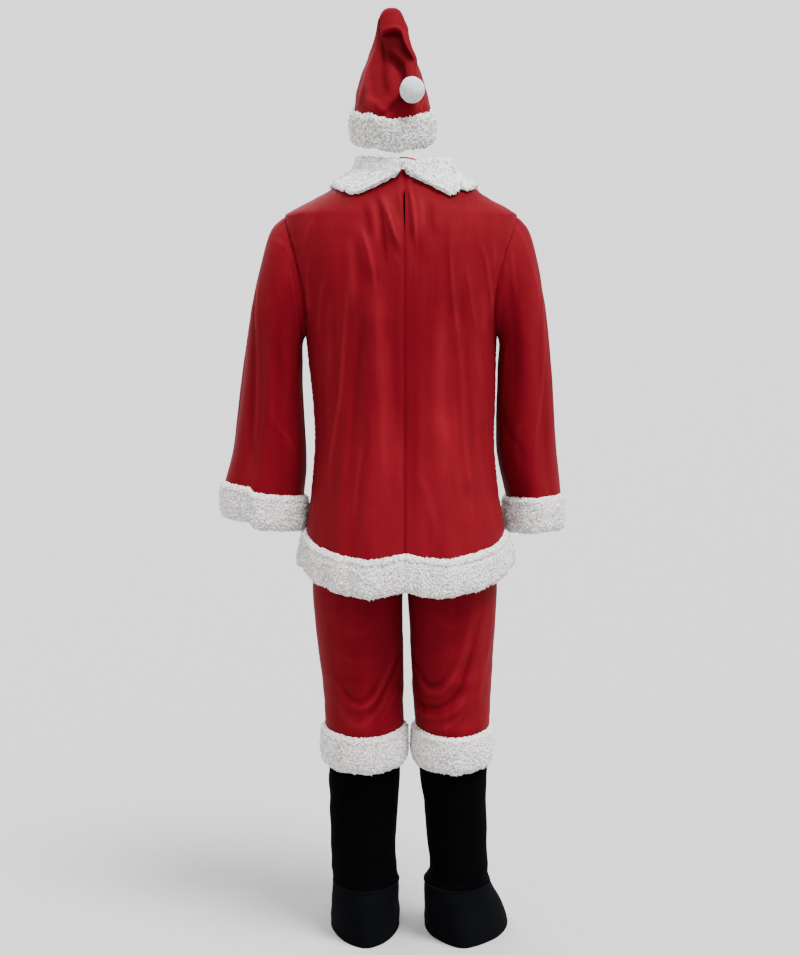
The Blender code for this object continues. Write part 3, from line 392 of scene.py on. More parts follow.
# half-width in height, out, skew, then degrees and height along it; 90 is the back, 180 the outside
LEFT_LEG_CREASES = (
    (0.0050, 0.0030, 0.2, (116, 0.514), (104, 0.502), (93, 0.498), (80, 0.507), (67, 0.526), (58, 0.547),
     (49, 0.568), (34, 0.604)),
    (0.0050, -0.0030, 0.0, (130, 0.566), (121, 0.550), (113, 0.528), (105, 0.515), (92, 0.510), (81, 0.520),
     (70, 0.540), (60, 0.562)),
    (0.0045, -0.0042, -0.2, (92, 0.484), (80, 0.492), (68, 0.507), (57, 0.527), (44, 0.552), (32, 0.578),
     (20, 0.606)),
    (0.0085, 0.0022, 0.0, (136, 0.522), (120, 0.486), (106, 0.467), (95, 0.464), (84, 0.472), (70, 0.490),
     (60, 0.509), (48, 0.536), (34, 0.566)),
    (0.0050, 0.0020, 0.0, (68, 0.470), (55, 0.488), (46, 0.505), (32, 0.528)),
    (0.0070, 0.0014, 0.0, (114, 0.602), (101, 0.588), (90, 0.585), (76, 0.596)),
    (0.0060, -0.0016, 0.0, (124, 0.566), (113, 0.553), (96, 0.549), (80, 0.556)),
    (0.0080, 0.0014, 0.0, (60, 0.668), (86, 0.645), (112, 0.650)),
    (0.0070, -0.0030, 0.3, (206, 0.590), (236, 0.500), (266, 0.474), (296, 0.500), (324, 0.580)),
    (0.0070, 0.0026, -0.3, (212, 0.620), (238, 0.528), (268, 0.500), (294, 0.528), (318, 0.610)),
    (0.0070, -0.0020, 0.2, (232, 0.640), (262, 0.566), (290, 0.580)),
    (0.0080, 0.0016, 0.0, (236, 0.705), (268, 0.664), (300, 0.690)),
)
RIGHT_LEG_CREASES = (
    (0.0048, -0.0032, 0.0, (8, 0.604), (20, 0.580), (32, 0.566), (43, 0.548), (56, 0.538), (67, 0.541),
     (80, 0.556), (92, 0.588)),
    (0.0055, 0.0030, 0.2, (22, 0.562), (41, 0.535), (56, 0.522), (71, 0.523), (83, 0.539), (95, 0.567),
     (103, 0.598), (109, 0.638), (115, 0.678), (121, 0.722)),
    (0.0046, -0.0040, -0.2, (16, 0.508), (30, 0.500), (43, 0.496), (65, 0.498), (82, 0.508), (95, 0.523),
     (103, 0.545), (108, 0.568), (113, 0.594), (120, 0.632), (126, 0.670), (133, 0.720)),
    (0.0055, 0.0026, 0.0, (10, 0.490), (28, 0.480), (42, 0.475), (66, 0.478), (83, 0.485), (98, 0.499),
     (109, 0.520), (118, 0.545), (127, 0.584)),
    (0.0060, 0.0016, 0.0, (34, 0.460), (53, 0.455), (71, 0.455), (88, 0.468), (103, 0.486), (117, 0.508)),
    (0.0070, 0.0020, 0.0, (127, 0.490), (131, 0.520), (138, 0.560), (152, 0.630)),
    (0.0060, -0.0020, 0.0, (12, 0.636), (18, 0.570), (30, 0.520), (44, 0.478)),
    (0.0080, 0.0014, 0.0, (60, 0.690), (84, 0.656), (100, 0.672)),
    (0.0070, -0.0030, 0.3, (204, 0.600), (232, 0.516), (262, 0.480), (292, 0.492), (322, 0.566)),
    (0.0070, 0.0026, -0.3, (216, 0.610), (240, 0.534), (266, 0.504), (292, 0.520), (316, 0.590)),
    (0.0070, -0.0020, 0.2, (236, 0.650), (264, 0.590), (292, 0.584)),
    (0.0080, 0.0016, 0.0, (240, 0.716), (270, 0.680), (296, 0.690)),
)
# half-width in degrees, out, skew, then ring of the hat and degrees (90 is the back) along it
HAT_CREASES = (
    (6.0, 0.0040, -0.3, (0.0, 60), (0.6, 58), (1.2, 54), (2.2, 46), (3.9, 24), (4.6, 18)),
    (8.0, 0.0034, 0.0, (0.0, 88), (0.5, 78), (1.0, 66), (1.6, 56)),
    (8.0, -0.0050, 0.3, (0.0, 68), (0.5, 83), (1.0, 95), (1.5, 108), (2.2, 120)),
    (8.0, -0.0046, 0.0, (1.0, 84), (1.8, 80), (2.8, 74), (4.5, 70), (6.2, 68)),
    (6.0, 0.0028, 0.0, (0.4, 26), (1.1, 28), (2.2, 31), (3.9, 36), (5.6, 42)),
    (9.0, 0.0030, 0.0, (0.0, 150), (2.0, 148), (4.0, 140)),
    (7.0, 0.0034, 0.0, (0.2, 124), (1.2, 128), (2.4, 124)),
    (8.0, 0.0034, 0.2, (0.0, 236), (2.0, 240), (4.5, 246), (6.4, 250)),
    (8.0, -0.0036, 0.2, (0.0, 262), (2.0, 266), (5.0, 272)),
    (8.0, 0.0032, 0.0, (0.0, 300), (2.5, 296), (5.5, 290)),
    (8.0, 0.0024, 0.0, (0.5, 4), (3.0, 2), (5.5, 0)),
)
# ---------------------------------------------------------------- curves and grids
def smooth(table, column, x):
    """Monotone cubic through a table's first column and the given one."""
    rows = sorted(table)
    xs = np.array([row[0] for row in rows], float)
    ys = np.array([row[column] for row in rows], float)
    steps = np.diff(xs)
    slopes = np.diff(ys) / steps
    product = slopes[:-1] * slopes[1:]
    total = np.where(product > 0, slopes[:-1] + slopes[1:], 1.0)
    inner = np.where(product > 0, 2 * product / total, 0.0)
    tangent = np.concatenate([slopes[:1], inner, slopes[-1:]])
    x = np.clip(np.asarray(x, float), xs[0], xs[-1])
    i = np.clip(np.searchsorted(xs, x) - 1, 0, len(xs) - 2)
    t = (x - xs[i]) / steps[i]
    rise = (3 - 2 * t) * t * t
    return (
        ys[i] * (1 - rise)
        + ys[i + 1] * rise
        + steps[i] * t * (1 - t) * ((1 - t) * tangent[i] - t * tangent[i + 1])
    )


def numbered(table):
    """The table with each row's number put before it, so that smooth() can run along the rows."""
    return [(k, *row) for k, row in enumerate(table)]


def values_at(table, columns, x):
    return (float(smooth(table, column, x)) for column in columns)


def unit(vectors):
    return vectors / np.maximum(np.linalg.norm(vectors, axis=-1, keepdims=True), 1e-12)


def ease(t):
    t = np.clip(t, 0.0, 1.0)
    return t * t * (3 - 2 * t)


def bell(distance, width):
    """1 at no distance, falling away smoothly on both sides."""
    return np.exp(-((distance / width) ** 2))


def wrapped(degrees):
    """An angle brought to between -180 and 180 degrees."""
    return (degrees + 180) % 360 - 180


def around(count):
    return 2 * math.pi * np.arange(count) / count


def stack(x, y, z):
    return np.stack(np.broadcast_arrays(x, y, z), axis=-1).astype(float)


def closed_columns(grid):
    return np.concatenate([grid, grid[:, :1]], axis=1)


def grid_normals(points, wrap_columns, wrap_rows=False):
    """Unit normals of a rows by columns grid, to the side where rows x columns turns right-handed."""
    if wrap_rows:
        along = np.roll(points, -1, 0) - np.roll(points, 1, 0)
    else:
        along = np.gradient(points, axis=0)
    if wrap_columns:
        around = np.roll(points, -1, 1) - np.roll(points, 1, 1)
    else:
        around = np.gradient(points, axis=1)
    return unit(np.cross(around, along))


def outwards(points, normals, centre):
    """The normals, turned to point away from centre, which has a point per row."""
    side = ((points - centre[:, None, :]) * normals).sum(axis=2).mean()
    return normals if side > 0 else -normals


def run_lengths(points, axis):
    """Distance along each line of a grid from its first point."""
    steps = np.linalg.norm(np.diff(points, axis=axis), axis=2)
    start = np.zeros_like(np.take(steps, [0], axis=axis))
    return np.concatenate([start, np.cumsum(steps, axis=axis)], axis=axis)


# ---------------------------------------------------------------- noise
def hashed(cells, seed):
    """A number from 0 to 1 for each whole-numbered cell."""
    x, y, z = (cells[..., k].astype(np.int64) for k in range(3))
    mixed = (x * 73856093) ^ (y * 19349663) ^ (z * 83492791) ^ (seed * 2654435761)
    mixed &= 0xFFFFFFFF
    mixed = ((mixed ^ (mixed >> 15)) * 73244475) & 0xFFFFFFFF
    mixed = ((mixed ^ (mixed >> 13)) * 73244475) & 0xFFFFFFFF
    return ((mixed ^ (mixed >> 16)) & 0xFFFFFFFF) / 4294967296.0


def noise(points, size, seed):
    """Smooth noise from -1 to 1 whose features have the given size."""
    scaled = points / size
    cell = np.floor(scaled).astype(int)
    t = ease(scaled - cell)
    total = np.zeros(points.shape[:-1])
    for corner in np.ndindex(2, 2, 2):
        weight = np.prod(np.where(corner, t, 1 - t), axis=-1)
        total += weight * hashed(cell + np.array(corner), seed)
    return total * 2 - 1


def noise_vectors(points, size, seed):
    return np.stack([noise(points, size, seed + k) for k in range(3)], axis=-1)


def lumps(points, size, seed):
    """Distances to the nearest and second nearest of scattered centres, in units of size."""
    scaled = points / size
    cell = np.floor(scaled).astype(int)
    nearest = np.full(points.shape[:-1], 9.0)
    second = nearest.copy()
    for step in np.ndindex(3, 3, 3):
        at = cell + np.array(step) - 1
        centre = at + np.stack([hashed(at, seed + k) for k in range(3)], axis=-1)
        distance = np.linalg.norm(scaled - centre, axis=-1)
        second = np.minimum(second, np.maximum(nearest, distance))
        nearest = np.minimum(nearest, distance)
    return nearest, second


# ---------------------------------------------------------------- meshes
def make_mesh(name, points, faces, mat, uv=None, attribute=None, sharp_degrees=50):
    """A mesh object from lists of equal-sided faces. uv holds one (N, k, 2) array per face list."""
    faces = [np.asarray(group, np.int64) for group in faces if len(group)]
    used, flat = np.unique(np.concatenate([group.ravel() for group in faces]), return_inverse=True)
    points = np.asarray(points, float)[used] - np.array([0.0, 0.0, SHOULDER_HEIGHT])
    mesh = bpy.data.meshes.new(name)
    mesh.vertices.add(len(points))
    mesh.vertices.foreach_set("co", points.astype(np.float32).ravel())
    sizes = np.concatenate([np.full(len(group), group.shape[1]) for group in faces])
    mesh.loops.add(int(sizes.sum()))
    mesh.loops.foreach_set("vertex_index", flat.astype(np.int32).ravel())
    mesh.polygons.add(len(sizes))
    starts = np.concatenate([[0], np.cumsum(sizes)[:-1]])
    mesh.polygons.foreach_set("loop_start", starts.astype(np.int32))
    if uv is not None:
        layer = mesh.uv_layers.new(name="weave")
        corners = np.concatenate([part.reshape(-1, 2) for part in uv])
        layer.uv.foreach_set("vector", corners.astype(np.float32).ravel())
    if attribute is not None:
        for label, values in attribute.items():
            made = mesh.attributes.new(label, "FLOAT", "POINT")
            made.data.foreach_set("value", np.asarray(values, np.float32).ravel()[used])
    mesh.update(calc_edges=True)
    mesh.validate()
    mesh.shade_smooth()
    if signed_volume(mesh) < 0:
        mesh.flip_normals()
    if sharp_degrees is not None:
        mesh.set_sharp_from_angle(angle=math.radians(sharp_degrees))
    mesh.materials.append(mat)
    piece = bpy.data.objects.new(name, mesh)
    bpy.context.scene.collection.objects.link(piece)


def ring_quads(rows, columns, closed=False):
    """Faces between the neighbouring rings of a grid; closed joins the last ring to the first."""
    i = np.arange(rows if closed else rows - 1)[:, None]
    j = np.arange(columns)[None, :]
    ahead, beside = (i + 1) % rows, (j + 1) % columns
    corners = (i * columns + j, ahead * columns + j, ahead * columns + beside, i * columns + beside)
    return np.stack(np.broadcast_arrays(*corners), axis=-1).reshape(-1, 4)


def end_fans(rows, columns):
    """Triangles from the first and last ring of a grid to the two points that follow it."""
    first = np.arange(columns)
    last = (rows - 1) * columns + first
    low, high = (np.full(columns, rows * columns + k) for k in (0, 1))
    return np.concatenate([
        np.stack([low, first, np.roll(first, -1)], -1),
        np.stack([high, np.roll(last, -1), last], -1),
    ])


def signed_volume(mesh):
    mesh.calc_loop_triangles()
    points = np.empty(len(mesh.vertices) * 3, np.float32)
    mesh.vertices.foreach_get("co", points)
    index = np.empty(len(mesh.loop_triangles) * 3, np.int32)
    mesh.loop_triangles.foreach_get("vertices", index)
    corners = points.reshape(-1, 3)[index.reshape(-1, 3)].astype(float)
    return np.linalg.det(corners).sum()


def make_wall(name, outer, inner, mat, open_rows=None, capped=False, attribute=None):
    """Cloth as one closed solid between two grids. Rows before open_rows end at both sides; in the
    others the last column is the first one again. A capped wall is shut at its last row."""
    rows, columns = outer.shape[:2]
    open_rows = rows if open_rows is None else open_rows
    last, end = columns - 1, rows - 1
    raw = np.arange(2 * rows * columns).reshape(2, rows, columns)
    joined = raw.copy()
    joined[:, open_rows:, last] = joined[:, open_rows:, 0]
    across = run_lengths(outer, 1)
    along = run_lengths(outer, 0).mean(axis=1, keepdims=True) + 0 * across
    flat_uv = np.stack([across.mean(axis=0)[None, :] + 0 * across, along], axis=-1)
    coordinates = np.concatenate([flat_uv.reshape(-1, 2)] * 2 + [np.zeros((2, 2))])
    points = np.concatenate([outer.reshape(-1, 3), inner.reshape(-1, 3)])
    i, j = np.meshgrid(np.arange(end), np.arange(last), indexing="ij")
    quads = []

    def add(*corners):
        quads.append(np.stack([np.stack([table[c] for c in corners], -1) for table in (joined, raw)], -1))

    add((0, i, j), (0, i + 1, j), (0, i + 1, j + 1), (0, i, j + 1))
    add((1, i, j), (1, i, j + 1), (1, i + 1, j + 1), (1, i + 1, j))
    j = np.arange(last)
    add((0, 0, j), (0, 0, j + 1), (1, 0, j + 1), (1, 0, j))
    if not capped:
        add((1, end, j), (1, end, j + 1), (0, end, j + 1), (0, end, j))
    i = np.arange(min(open_rows, end))
    if len(i):
        add((0, i + 1, 0), (0, i, 0), (1, i, 0), (1, i + 1, 0))
        add((1, i + 1, last), (1, i, last), (0, i, last), (0, i + 1, last))
    quads = np.concatenate([group.reshape(-1, 4, 2) for group in quads])
    groups, maps = [quads[..., 0]], [coordinates[quads[..., 1]]]
    if capped:
        tips = np.stack([grid[end, :last].mean(axis=0) for grid in (outer, inner)])
        points = np.concatenate([points, tips])
        tip = np.full(last, 2 * rows * columns)
        fan = np.concatenate([
            np.stack([joined[0, end, j + 1], joined[0, end, j], tip], -1),
            np.stack([joined[1, end, j], joined[1, end, j + 1], tip + 1], -1),
        ])
        groups.append(fan)
        maps.append(coordinates[fan])
    if attribute is not None:
        attribute = {
            label: np.concatenate([values.ravel()] * 2 + [values[end, :1], values[end, :1]])
            for label, values in attribute.items()
        }
    make_mesh(name, points, groups, mat, maps, attribute)


def make_tube(name, outer, inner, mat, capped=False, painted_shading=None):
    """A wall whose columns close on themselves, with its painted shading where it has one."""
    attribute = None if painted_shading is None else {"fold": closed_columns(painted_shading)}
    make_wall(name, closed_columns(outer), closed_columns(inner), mat, 0, capped, attribute)


# ---------------------------------------------------------------- creases
FOLD_SHADING_HEIGHT = 0.0040  # a crease this high gets the full painted highlight on its crest or painted shade in its valley


def crease(place, level, table, fade, wide=1.0):
    """Sum of soft creases that run along level: place is the coordinate across them."""
    total = np.zeros(np.broadcast(place, level).shape)
    for width, out, skew, *path in table:
        start, end = path[0][0], path[-1][0]
        length = abs(end - start)
        along = (level - start) / (end - start) * length
        window = ease(along / max(fade, 0.2 * length)) * ease((length - along) / max(fade, 0.35 * length))
        middle = smooth(path, 1, level)
        apart = wrapped(place - middle) if fade > 0.5 else place - middle
        side = np.where(apart > 0, 1 + skew, 1 - skew)
        total += out * window * np.exp(-((apart / (width * side * wide)) ** 2))
    return total


def line_crease(degrees, height, table, radius):
    """Sum of soft creases along lines of any slope on a leg: out is taken by the distance to the line."""
    place = np.stack(np.broadcast_arrays(np.radians(degrees) * radius, height), axis=-1)
    total = np.zeros(place.shape[:-1])
    for width, out, skew, *path in table:
        at = np.linspace(path[0][0], path[-1][0], 40)
        line = np.stack([np.radians(at) * radius, smooth(path, 1, at)], axis=1)
        start, way = line[:-1], np.diff(line, axis=0)
        share = ((place[..., None, :] - start) * way).sum(-1) / (way ** 2).sum(-1)
        apart = place[..., None, :] - start - np.clip(share, 0, 1)[..., None] * way
        distance = np.linalg.norm(apart, axis=-1)
        nearest = distance.argmin(axis=-1)
        index = (np.arange(len(place)), nearest)
        above = np.sign(apart[index][..., 1])
        along = (nearest + np.clip(share[index], 0, 1)) / len(way)
        window = ease(along / 0.22) * ease((1 - along) / 0.22)
        total += out * window * np.exp(-((distance[index] / (width * (1 + skew * above))) ** 2))
    return total


SEAM_DEPTH, SEAM_WIDTH = 0.0013, 0.0032
SEAM_RISE, SEAM_RISE_AT, SEAM_RISE_WIDTH = 0.0005, 0.009, 0.005


def seam_dip(distance):
    """How far cloth sinks at a seam: a narrow valley, with a faint rise of gathered cloth beside it."""
    valley = -SEAM_DEPTH * bell(distance, SEAM_WIDTH)
    return valley + SEAM_RISE * bell(distance - SEAM_RISE_AT, SEAM_RISE_WIDTH)


# ---------------------------------------------------------------- jacket body
def folds(table, x, height):
    total = np.zeros(np.broadcast(x, height).shape)
    for x_top, z_top, x_bottom, z_bottom, width, depth in table:
        share = (z_top - height) / (z_top - z_bottom)
        middle = x_top + (x_bottom - x_top) * np.clip(share, 0, 1)
        window = ease((z_top - height) / (FOLD_FADE + 0.10 * (z_top - z_bottom)))
        window = window * ease((height - z_bottom) / FOLD_FADE)
        total += depth * window * bell(x - middle, width)
    return total


def body_creases(x, height, back):
    behind = 0.9 * crease(x, height, BACK_CREASES, 0.030)
    before = 0.6 * crease(x, height, FRONT_CREASES, 0.035, 1.2)
    return np.where(back, behind, before)


def body(side, turn, height, fine=False):
    """A point of the jacket's surface: turn runs from the centre back (0) to the front (pi)."""
    half_width = smooth(BODY, 1 if side > 0 else 2, height)
    back = np.cos(turn) >= 0
    depth = np.where(back, smooth(BODY, 3, height), smooth(BODY, 4, height))
    x = side * half_width * np.sin(turn)
    y = depth * np.cos(turn)
    out = unit(stack(side * np.sin(turn) / half_width, np.cos(turn) / depth, 0.0 * height))
    fold = np.where(back, folds(BACK_FOLDS, x, height), folds(FRONT_FOLDS, x, height))
    if fine:
        fold = fold + body_creases(x, height, back)
    return stack(x, y, height) + out * (fold * np.abs(np.cos(turn)) ** 0.5)[..., None]


def body_normals(side, turn, height):
    step = 0.002
    around = body(side, turn + step, height) - body(side, turn - step, height)
    along = body(side, turn, height + step) - body(side, turn, height - step)
    return unit(np.cross(along, around) * side)


def line_height(table, turn):
    return smooth(table, 1, np.degrees(turn))


def arm_height(angle):
    middle, reach = (TIP_HEIGHT + ARMPIT_HEIGHT) / 2, (TIP_HEIGHT - ARMPIT_HEIGHT) / 2
    return middle + reach * np.cos(angle)


def armhole_turn(side, angle):
    cut = np.sin(angle)
    return math.pi / 2 - np.where(cut > 0, ARMHOLE_BACK[side], ARMHOLE_FRONT) * cut


NECK_ROWS, ARM_ROWS, SIDE_ROWS = 20, 52, 74
ARM_COLUMNS = 2 * ARM_ROWS


def half_rows(side, front, columns):
    """Turns and heights of a half panel's grid, from its centre to its outer edge."""
    turns, heights = [], []
    share = np.linspace(0.0, 1.0, columns + 1)
    middle = math.pi if front else 0.0
    for fall in np.linspace(0.0, 1.0, NECK_ROWS + 1)[:-1]:
        turn = middle + (math.pi / 2 - middle) * share
        turns.append(turn)
        heights.append(line_height(NECKLINE, turn) * (1 - fall) + TIP_HEIGHT * fall)
    for i in range(ARM_ROWS + 1):
        angle = math.pi * i / ARM_ROWS
        edge = armhole_turn(side, -angle if front else angle)
        turns.append(middle + (edge - middle) * share)
        heights.append(np.full(columns + 1, arm_height(angle)))
    for fall in np.linspace(0.0, 1.0, SIDE_ROWS + 1)[1:]:
        turn = middle + (math.pi / 2 - middle) * share
        turns.append(turn)
        heights.append(ARMPIT_HEIGHT * (1 - fall) + line_height(HEMLINE, turn) * fall)
    return np.array(turns), np.array(heights)


def armhole_frame(side, ring, centre_ring):
    """Seam points round the armhole, the direction shared by both walls, and the direction across."""
    angle = around(ARM_COLUMNS)
    turn, height = armhole_turn(side, angle), arm_height(angle)
    seam = body(side, turn, height)
    body_out = body_normals(side, turn, height)
    to_sleeve = unit(ring - seam)
    edge = np.roll(seam, -1, 0) - np.roll(seam, 1, 0)
    sleeve_out = unit(np.cross(edge, to_sleeve))
    centre = seam.mean(axis=0)
    if ((seam - centre) * sleeve_out).sum() < 0:
        sleeve_out = -sleeve_out
    shared = unit(body_out + sleeve_out)
    across = unit(np.cross(edge, shared))
    if (across * (centre_ring.mean(axis=0) - centre)).sum() < 0:
        across = -across
    return seam, shared, across


SLEEVE_ROWS = 104


def sleeve_grid(side, table, creases):
    """The sleeve's outer grid from the armhole to the cuff seam, and each row's painted shading."""
    angle = around(ARM_COLUMNS)
    degrees = np.degrees(angle)
    armhole = body(side, armhole_turn(side, angle), arm_height(angle))
    rings = len(table)
    indexed = numbered(table)
    fade = [*enumerate(ARMHOLE_FADE), (rings, 0.0)]
    step_end, step_in, step_up = SLEEVE_STEP[side]
    rows, painted_shadings = [], []
    for k in np.linspace(0.0, rings - 1.0, SLEEVE_ROWS):
        out_x, out_z, in_x, in_z, y, half_depth = values_at(indexed, range(1, 7), k)
        outer, inner = np.array([side * out_x, y, out_z]), np.array([side * in_x, y, in_z])
        deep = np.zeros(ARM_COLUMNS)
        for at, first, width, depth in SLEEVE_FOLDS:
            apart = wrapped(degrees - at)
            deep += 0.55 * depth * ease((k - first) / SLEEVE_FOLD_GROWTH) * bell(apart, width)
        creased = crease(degrees, np.full(ARM_COLUMNS, k), creases, 0.7)
        # painted highlight on the creases' crests and painted shade in their valleys, and the whole sleeve
        # painted a little darker, as shade
        painted_shadings.append(0.8 * creased / FOLD_SHADING_HEIGHT - 0.25)
        deep += 0.7 * creased
        set_back = ease((degrees + 20) / 14) * ease((step_end - degrees) / 9) + ease((degrees - 345) / 15)
        deep -= step_in * ease((k - 4.0) / 4.0) * set_back
        radius = 1 + deep / half_depth
        ring = (outer + inner) / 2 + radius[:, None] * (
            np.cos(angle)[:, None] * (outer - inner) / 2
            + np.sin(angle)[:, None] * np.array([0.0, half_depth, 0.0])
        )
        ring[:, 2] += step_up * ease((k - 8.0) / 3.0) * (set_back - 0.3)
        if k == 0:
            first_ring = ring
        rows.append(ring + float(smooth(fade, 1, k)) * (armhole - first_ring))
    return np.array(rows), np.array(painted_shadings)


def make_sleeve(side, label, table, creases, red):
    outer, painted_shading = sleeve_grid(side, table, creases)
    third_ring = int(3 * (SLEEVE_ROWS - 1) / (len(table) - 1))
    seam, shared, across = armhole_frame(side, outer[third_ring // 3], outer[third_ring])
    normals = outwards(outer, grid_normals(outer, True), outer.mean(axis=1))
    drop = run_lengths(outer, 0)
    outer = outer + normals * seam_dip(drop)[..., None]
    ripple = 0.0006 * np.sin(np.arange(ARM_COLUMNS) * 2.1 + 3 * np.sin(np.arange(ARM_COLUMNS) * 0.37))
    outer += normals * (ripple[None, :] * bell(drop - 0.006, 0.008))[..., None]
    weave = 0.0007 * noise(outer, 0.045, 11 + side) + 0.0003 * noise(outer, 0.018, 17 + side)
    outer += normals * (weave * ease(drop / 0.03))[..., None]
    inner = outer - normals * CLOTH
    outer[0] = seam + across * SEAM_GAP / 2 - shared * 0.0010
    inner[0] = outer[0] - shared * CLOTH
    out = unit(normals[-1] * LEVEL)
    inner[-1] = outer[-1] - out * CLOTH
    make_tube(f"sleeve_cloth_{label}", outer, inner, red, painted_shading=painted_shading)
    return seam, shared, across, outer[-1], out


def collar_edge(side, turn):
    """Height of the collar's lower edge over the jacket at each place round the neck."""
    share = np.clip((turn - COLLAR_MEET) / (COLLAR_POINT[side] + COLLAR_START - COLLAR_MEET), 0, 1)
    return line_height(NECKLINE, turn) - smooth(COLLAR_FALL, 1, np.degrees(turn)) * share


def half_panel(side, front, columns, armhole):
    """Outer and inner grid of half a body panel, with the armhole's edge shared with the sleeve."""
    turns, heights = half_rows(side, front, columns)
    outer = body(side, turns, heights, fine=True)
    normals = grid_normals(outer, False)
    centre = stack(0.0, 0.0, heights[:, 0])
    normals = outwards(outer, normals, centre)
    from_centre = run_lengths(outer, 1)
    from_edge = from_centre[:, -1:] - from_centre
    dip = seam_dip(from_edge)
    if not front:
        dip += seam_dip(from_centre)
    rows = np.arange(len(outer))
    ripple = 0.0005 * np.sin(rows * 1.9 + 3 * np.sin(rows * 0.41))[:, None]
    dip += ripple * bell(from_edge - 0.006, 0.008)
    weave = 0.0008 * noise(outer, 0.050, 3) + 0.0003 * noise(outer, 0.020, 7)
    calm = ease(from_edge / 0.03) * ease(from_centre / 0.03) if not front else ease(from_edge / 0.03)
    outer = outer + normals * (dip + weave * calm)[..., None]
    inner = outer - normals * CLOTH
    shift = unit(outer[:, -2] - outer[:, -1]) * SEAM_GAP / 2
    outer[:, -1] += shift
    inner[:, -1] += shift
    # painted shade and highlight: lighter on the creases' crests, darker in their valleys and in the seams'
    # dips, a little lighter on the faint rise beside a seam, a little darker overall, and a painted shadow in
    # a band just below the collar's lower edge
    under = np.maximum(collar_edge(side, turns) - heights, 0.0)
    painted_shading = body_creases(outer[..., 0], heights, not front) / FOLD_SHADING_HEIGHT + dip * 300
    painted_shading = painted_shading - 0.05 - 0.9 * bell(under, 0.022)
    seam, shared, across = armhole
    for i in range(ARM_ROWS + 1):
        k = (-i if front else i) % ARM_COLUMNS
        outer[NECK_ROWS + i, -1] = seam[k] - across[k] * SEAM_GAP / 2 - shared[k] * 0.0010
        inner[NECK_ROWS + i, -1] = outer[NECK_ROWS + i, -1] - shared[k] * CLOTH
    return outer, inner, painted_shading


BACK_COLUMNS, FRONT_COLUMNS = 112, 36


def make_body(red, armholes):
    """Makes the jacket's panels and returns the bottom edge of each."""
    edges = {}
    for side, label in SIDES:
        outer, inner, painted_shading = half_panel(side, False, BACK_COLUMNS, armholes[side])
        centre_height = outer[:, 0, 2]
        opening = ease((centre_height - SLIT_BOTTOM) / SLIT_TAPER)
        opening = opening * ease((SLIT_TOP - centre_height) / SLIT_TOP_TAPER)
        opening *= 1 + 0.5 * side
        away = bell(np.abs(outer[:, :SLIT_COLUMNS, 0]), SLIT_REACH)
        for grid in (outer, inner):
            met = ease((centre_height - CENTRE_MEETS) / CENTRE_MEETS_TAPER)
            grid[:, 0, 0] = side * SEAM_GAP / 2 * (1 - met)
            grid[:, :SLIT_COLUMNS, 0] += side * (SLIT_OPEN * opening)[:, None] * away
            grid[:, :SLIT_COLUMNS, 1] -= (SLIT_SINK * opening)[:, None] * away
        make_wall(f"back_cloth_{label}", outer, inner, red, attribute={"fold": painted_shading})
        edges[side, False] = (outer[-1], unit(outer[-1] - outer[-2]), unit(outer[-1] - inner[-1]))
    halves = []
    for side in (1, -1):
        outer, inner, painted_shading = half_panel(side, True, FRONT_COLUMNS, armholes[side])
        halves.append((outer, inner, painted_shading))
        edges[side, True] = (outer[-1], unit(outer[-1] - outer[-2]), unit(outer[-1] - inner[-1]))
    joined = [np.concatenate([left[:, :0:-1], right], 1) for left, right in zip(*halves)]
    make_wall("front_cloth", joined[0], joined[1], red, attribute={"fold": joined[2]})
    return edges


# ---------------------------------------------------------------- plush
CURVE_SAMPLES = 600
HIDDEN_SHARE = 0.42  # how much of its rows a hidden stretch keeps


def closed_curve(table):
    """A closed smooth curve through a table's rows."""
    rows = np.array(table, float)
    count = len(rows)
    t = np.linspace(0, count, CURVE_SAMPLES, endpoint=False)
    i = np.floor(t).astype(int)
    f = (t - i)[:, None]
    before, here, after, beyond = (rows[(i + k) % count] for k in (-1, 0, 1, 2))
    return 0.5 * (
        2 * here
        + (after - before) * f
        + (2 * before - 5 * here + 4 * after - beyond) * f ** 2
        + (3 * here - before - 3 * after + beyond) * f ** 3
    )


def spaced(curve, sizes, outer_side, spacing):
    """Rows of a closed curve, spaced evenly on its outer side and wider elsewhere."""
    scaled = curve * sizes
    steps = np.linalg.norm(np.roll(scaled, -1, 0) - scaled, axis=1)
    weighted = steps * np.where(outer_side, 1.0, HIDDEN_SHARE)
    total = np.concatenate([[0], np.cumsum(weighted)])
    count = int(round(total[-1] / spacing))
    at = np.linspace(0, total[-1], count, endpoint=False)
    closed = np.concatenate([curve, curve[:1]])
    return np.stack([np.interp(at, total, closed[:, k]) for k in range(curve.shape[1])], axis=1)


def resample(line, vectors, spacing, closed):
    """Evenly spaced points of a line, and its vectors there."""
    if closed:
        line, vectors = (np.concatenate([rows, rows[:1]]) for rows in (line, vectors))
    run = np.concatenate([[0], np.cumsum(np.linalg.norm(np.diff(line, axis=0), axis=1))])
    count = int(round(run[-1] / spacing))
    at = np.linspace(0, run[-1], count, endpoint=not closed)
    found = [np.stack([np.interp(at, run, rows[:, k]) for k in range(3)], axis=1) for rows in (line, vectors)]
    return found[0], unit(found[1])


PILE_SPACING = 0.0019


def curl_relief(points, seed, scale):
    """Height of the curled pile over its base, and how far each point is from the crevices (0 to 1), which
    the plush materials turn into painted shade down in the crevices.
    """
    warped = points + 0.0015 * scale * noise_vectors(points, 0.0052 * scale, seed)
    near, second = lumps(warped, 0.0050 * scale, seed + 10)
    curl = np.clip((second - near) / 0.55, 0, 1) ** 0.8
    fine_near, fine_second = lumps(points, 0.0030, seed + 20)
    fine = np.clip((fine_second - fine_near) / 0.6, 0, 1)
    broad = noise(points, 0.017, seed + 30)
    return 0.0032 * scale * curl + 0.0010 * fine + 0.0012 * broad - 0.0016, 0.7 * curl + 0.3 * fine


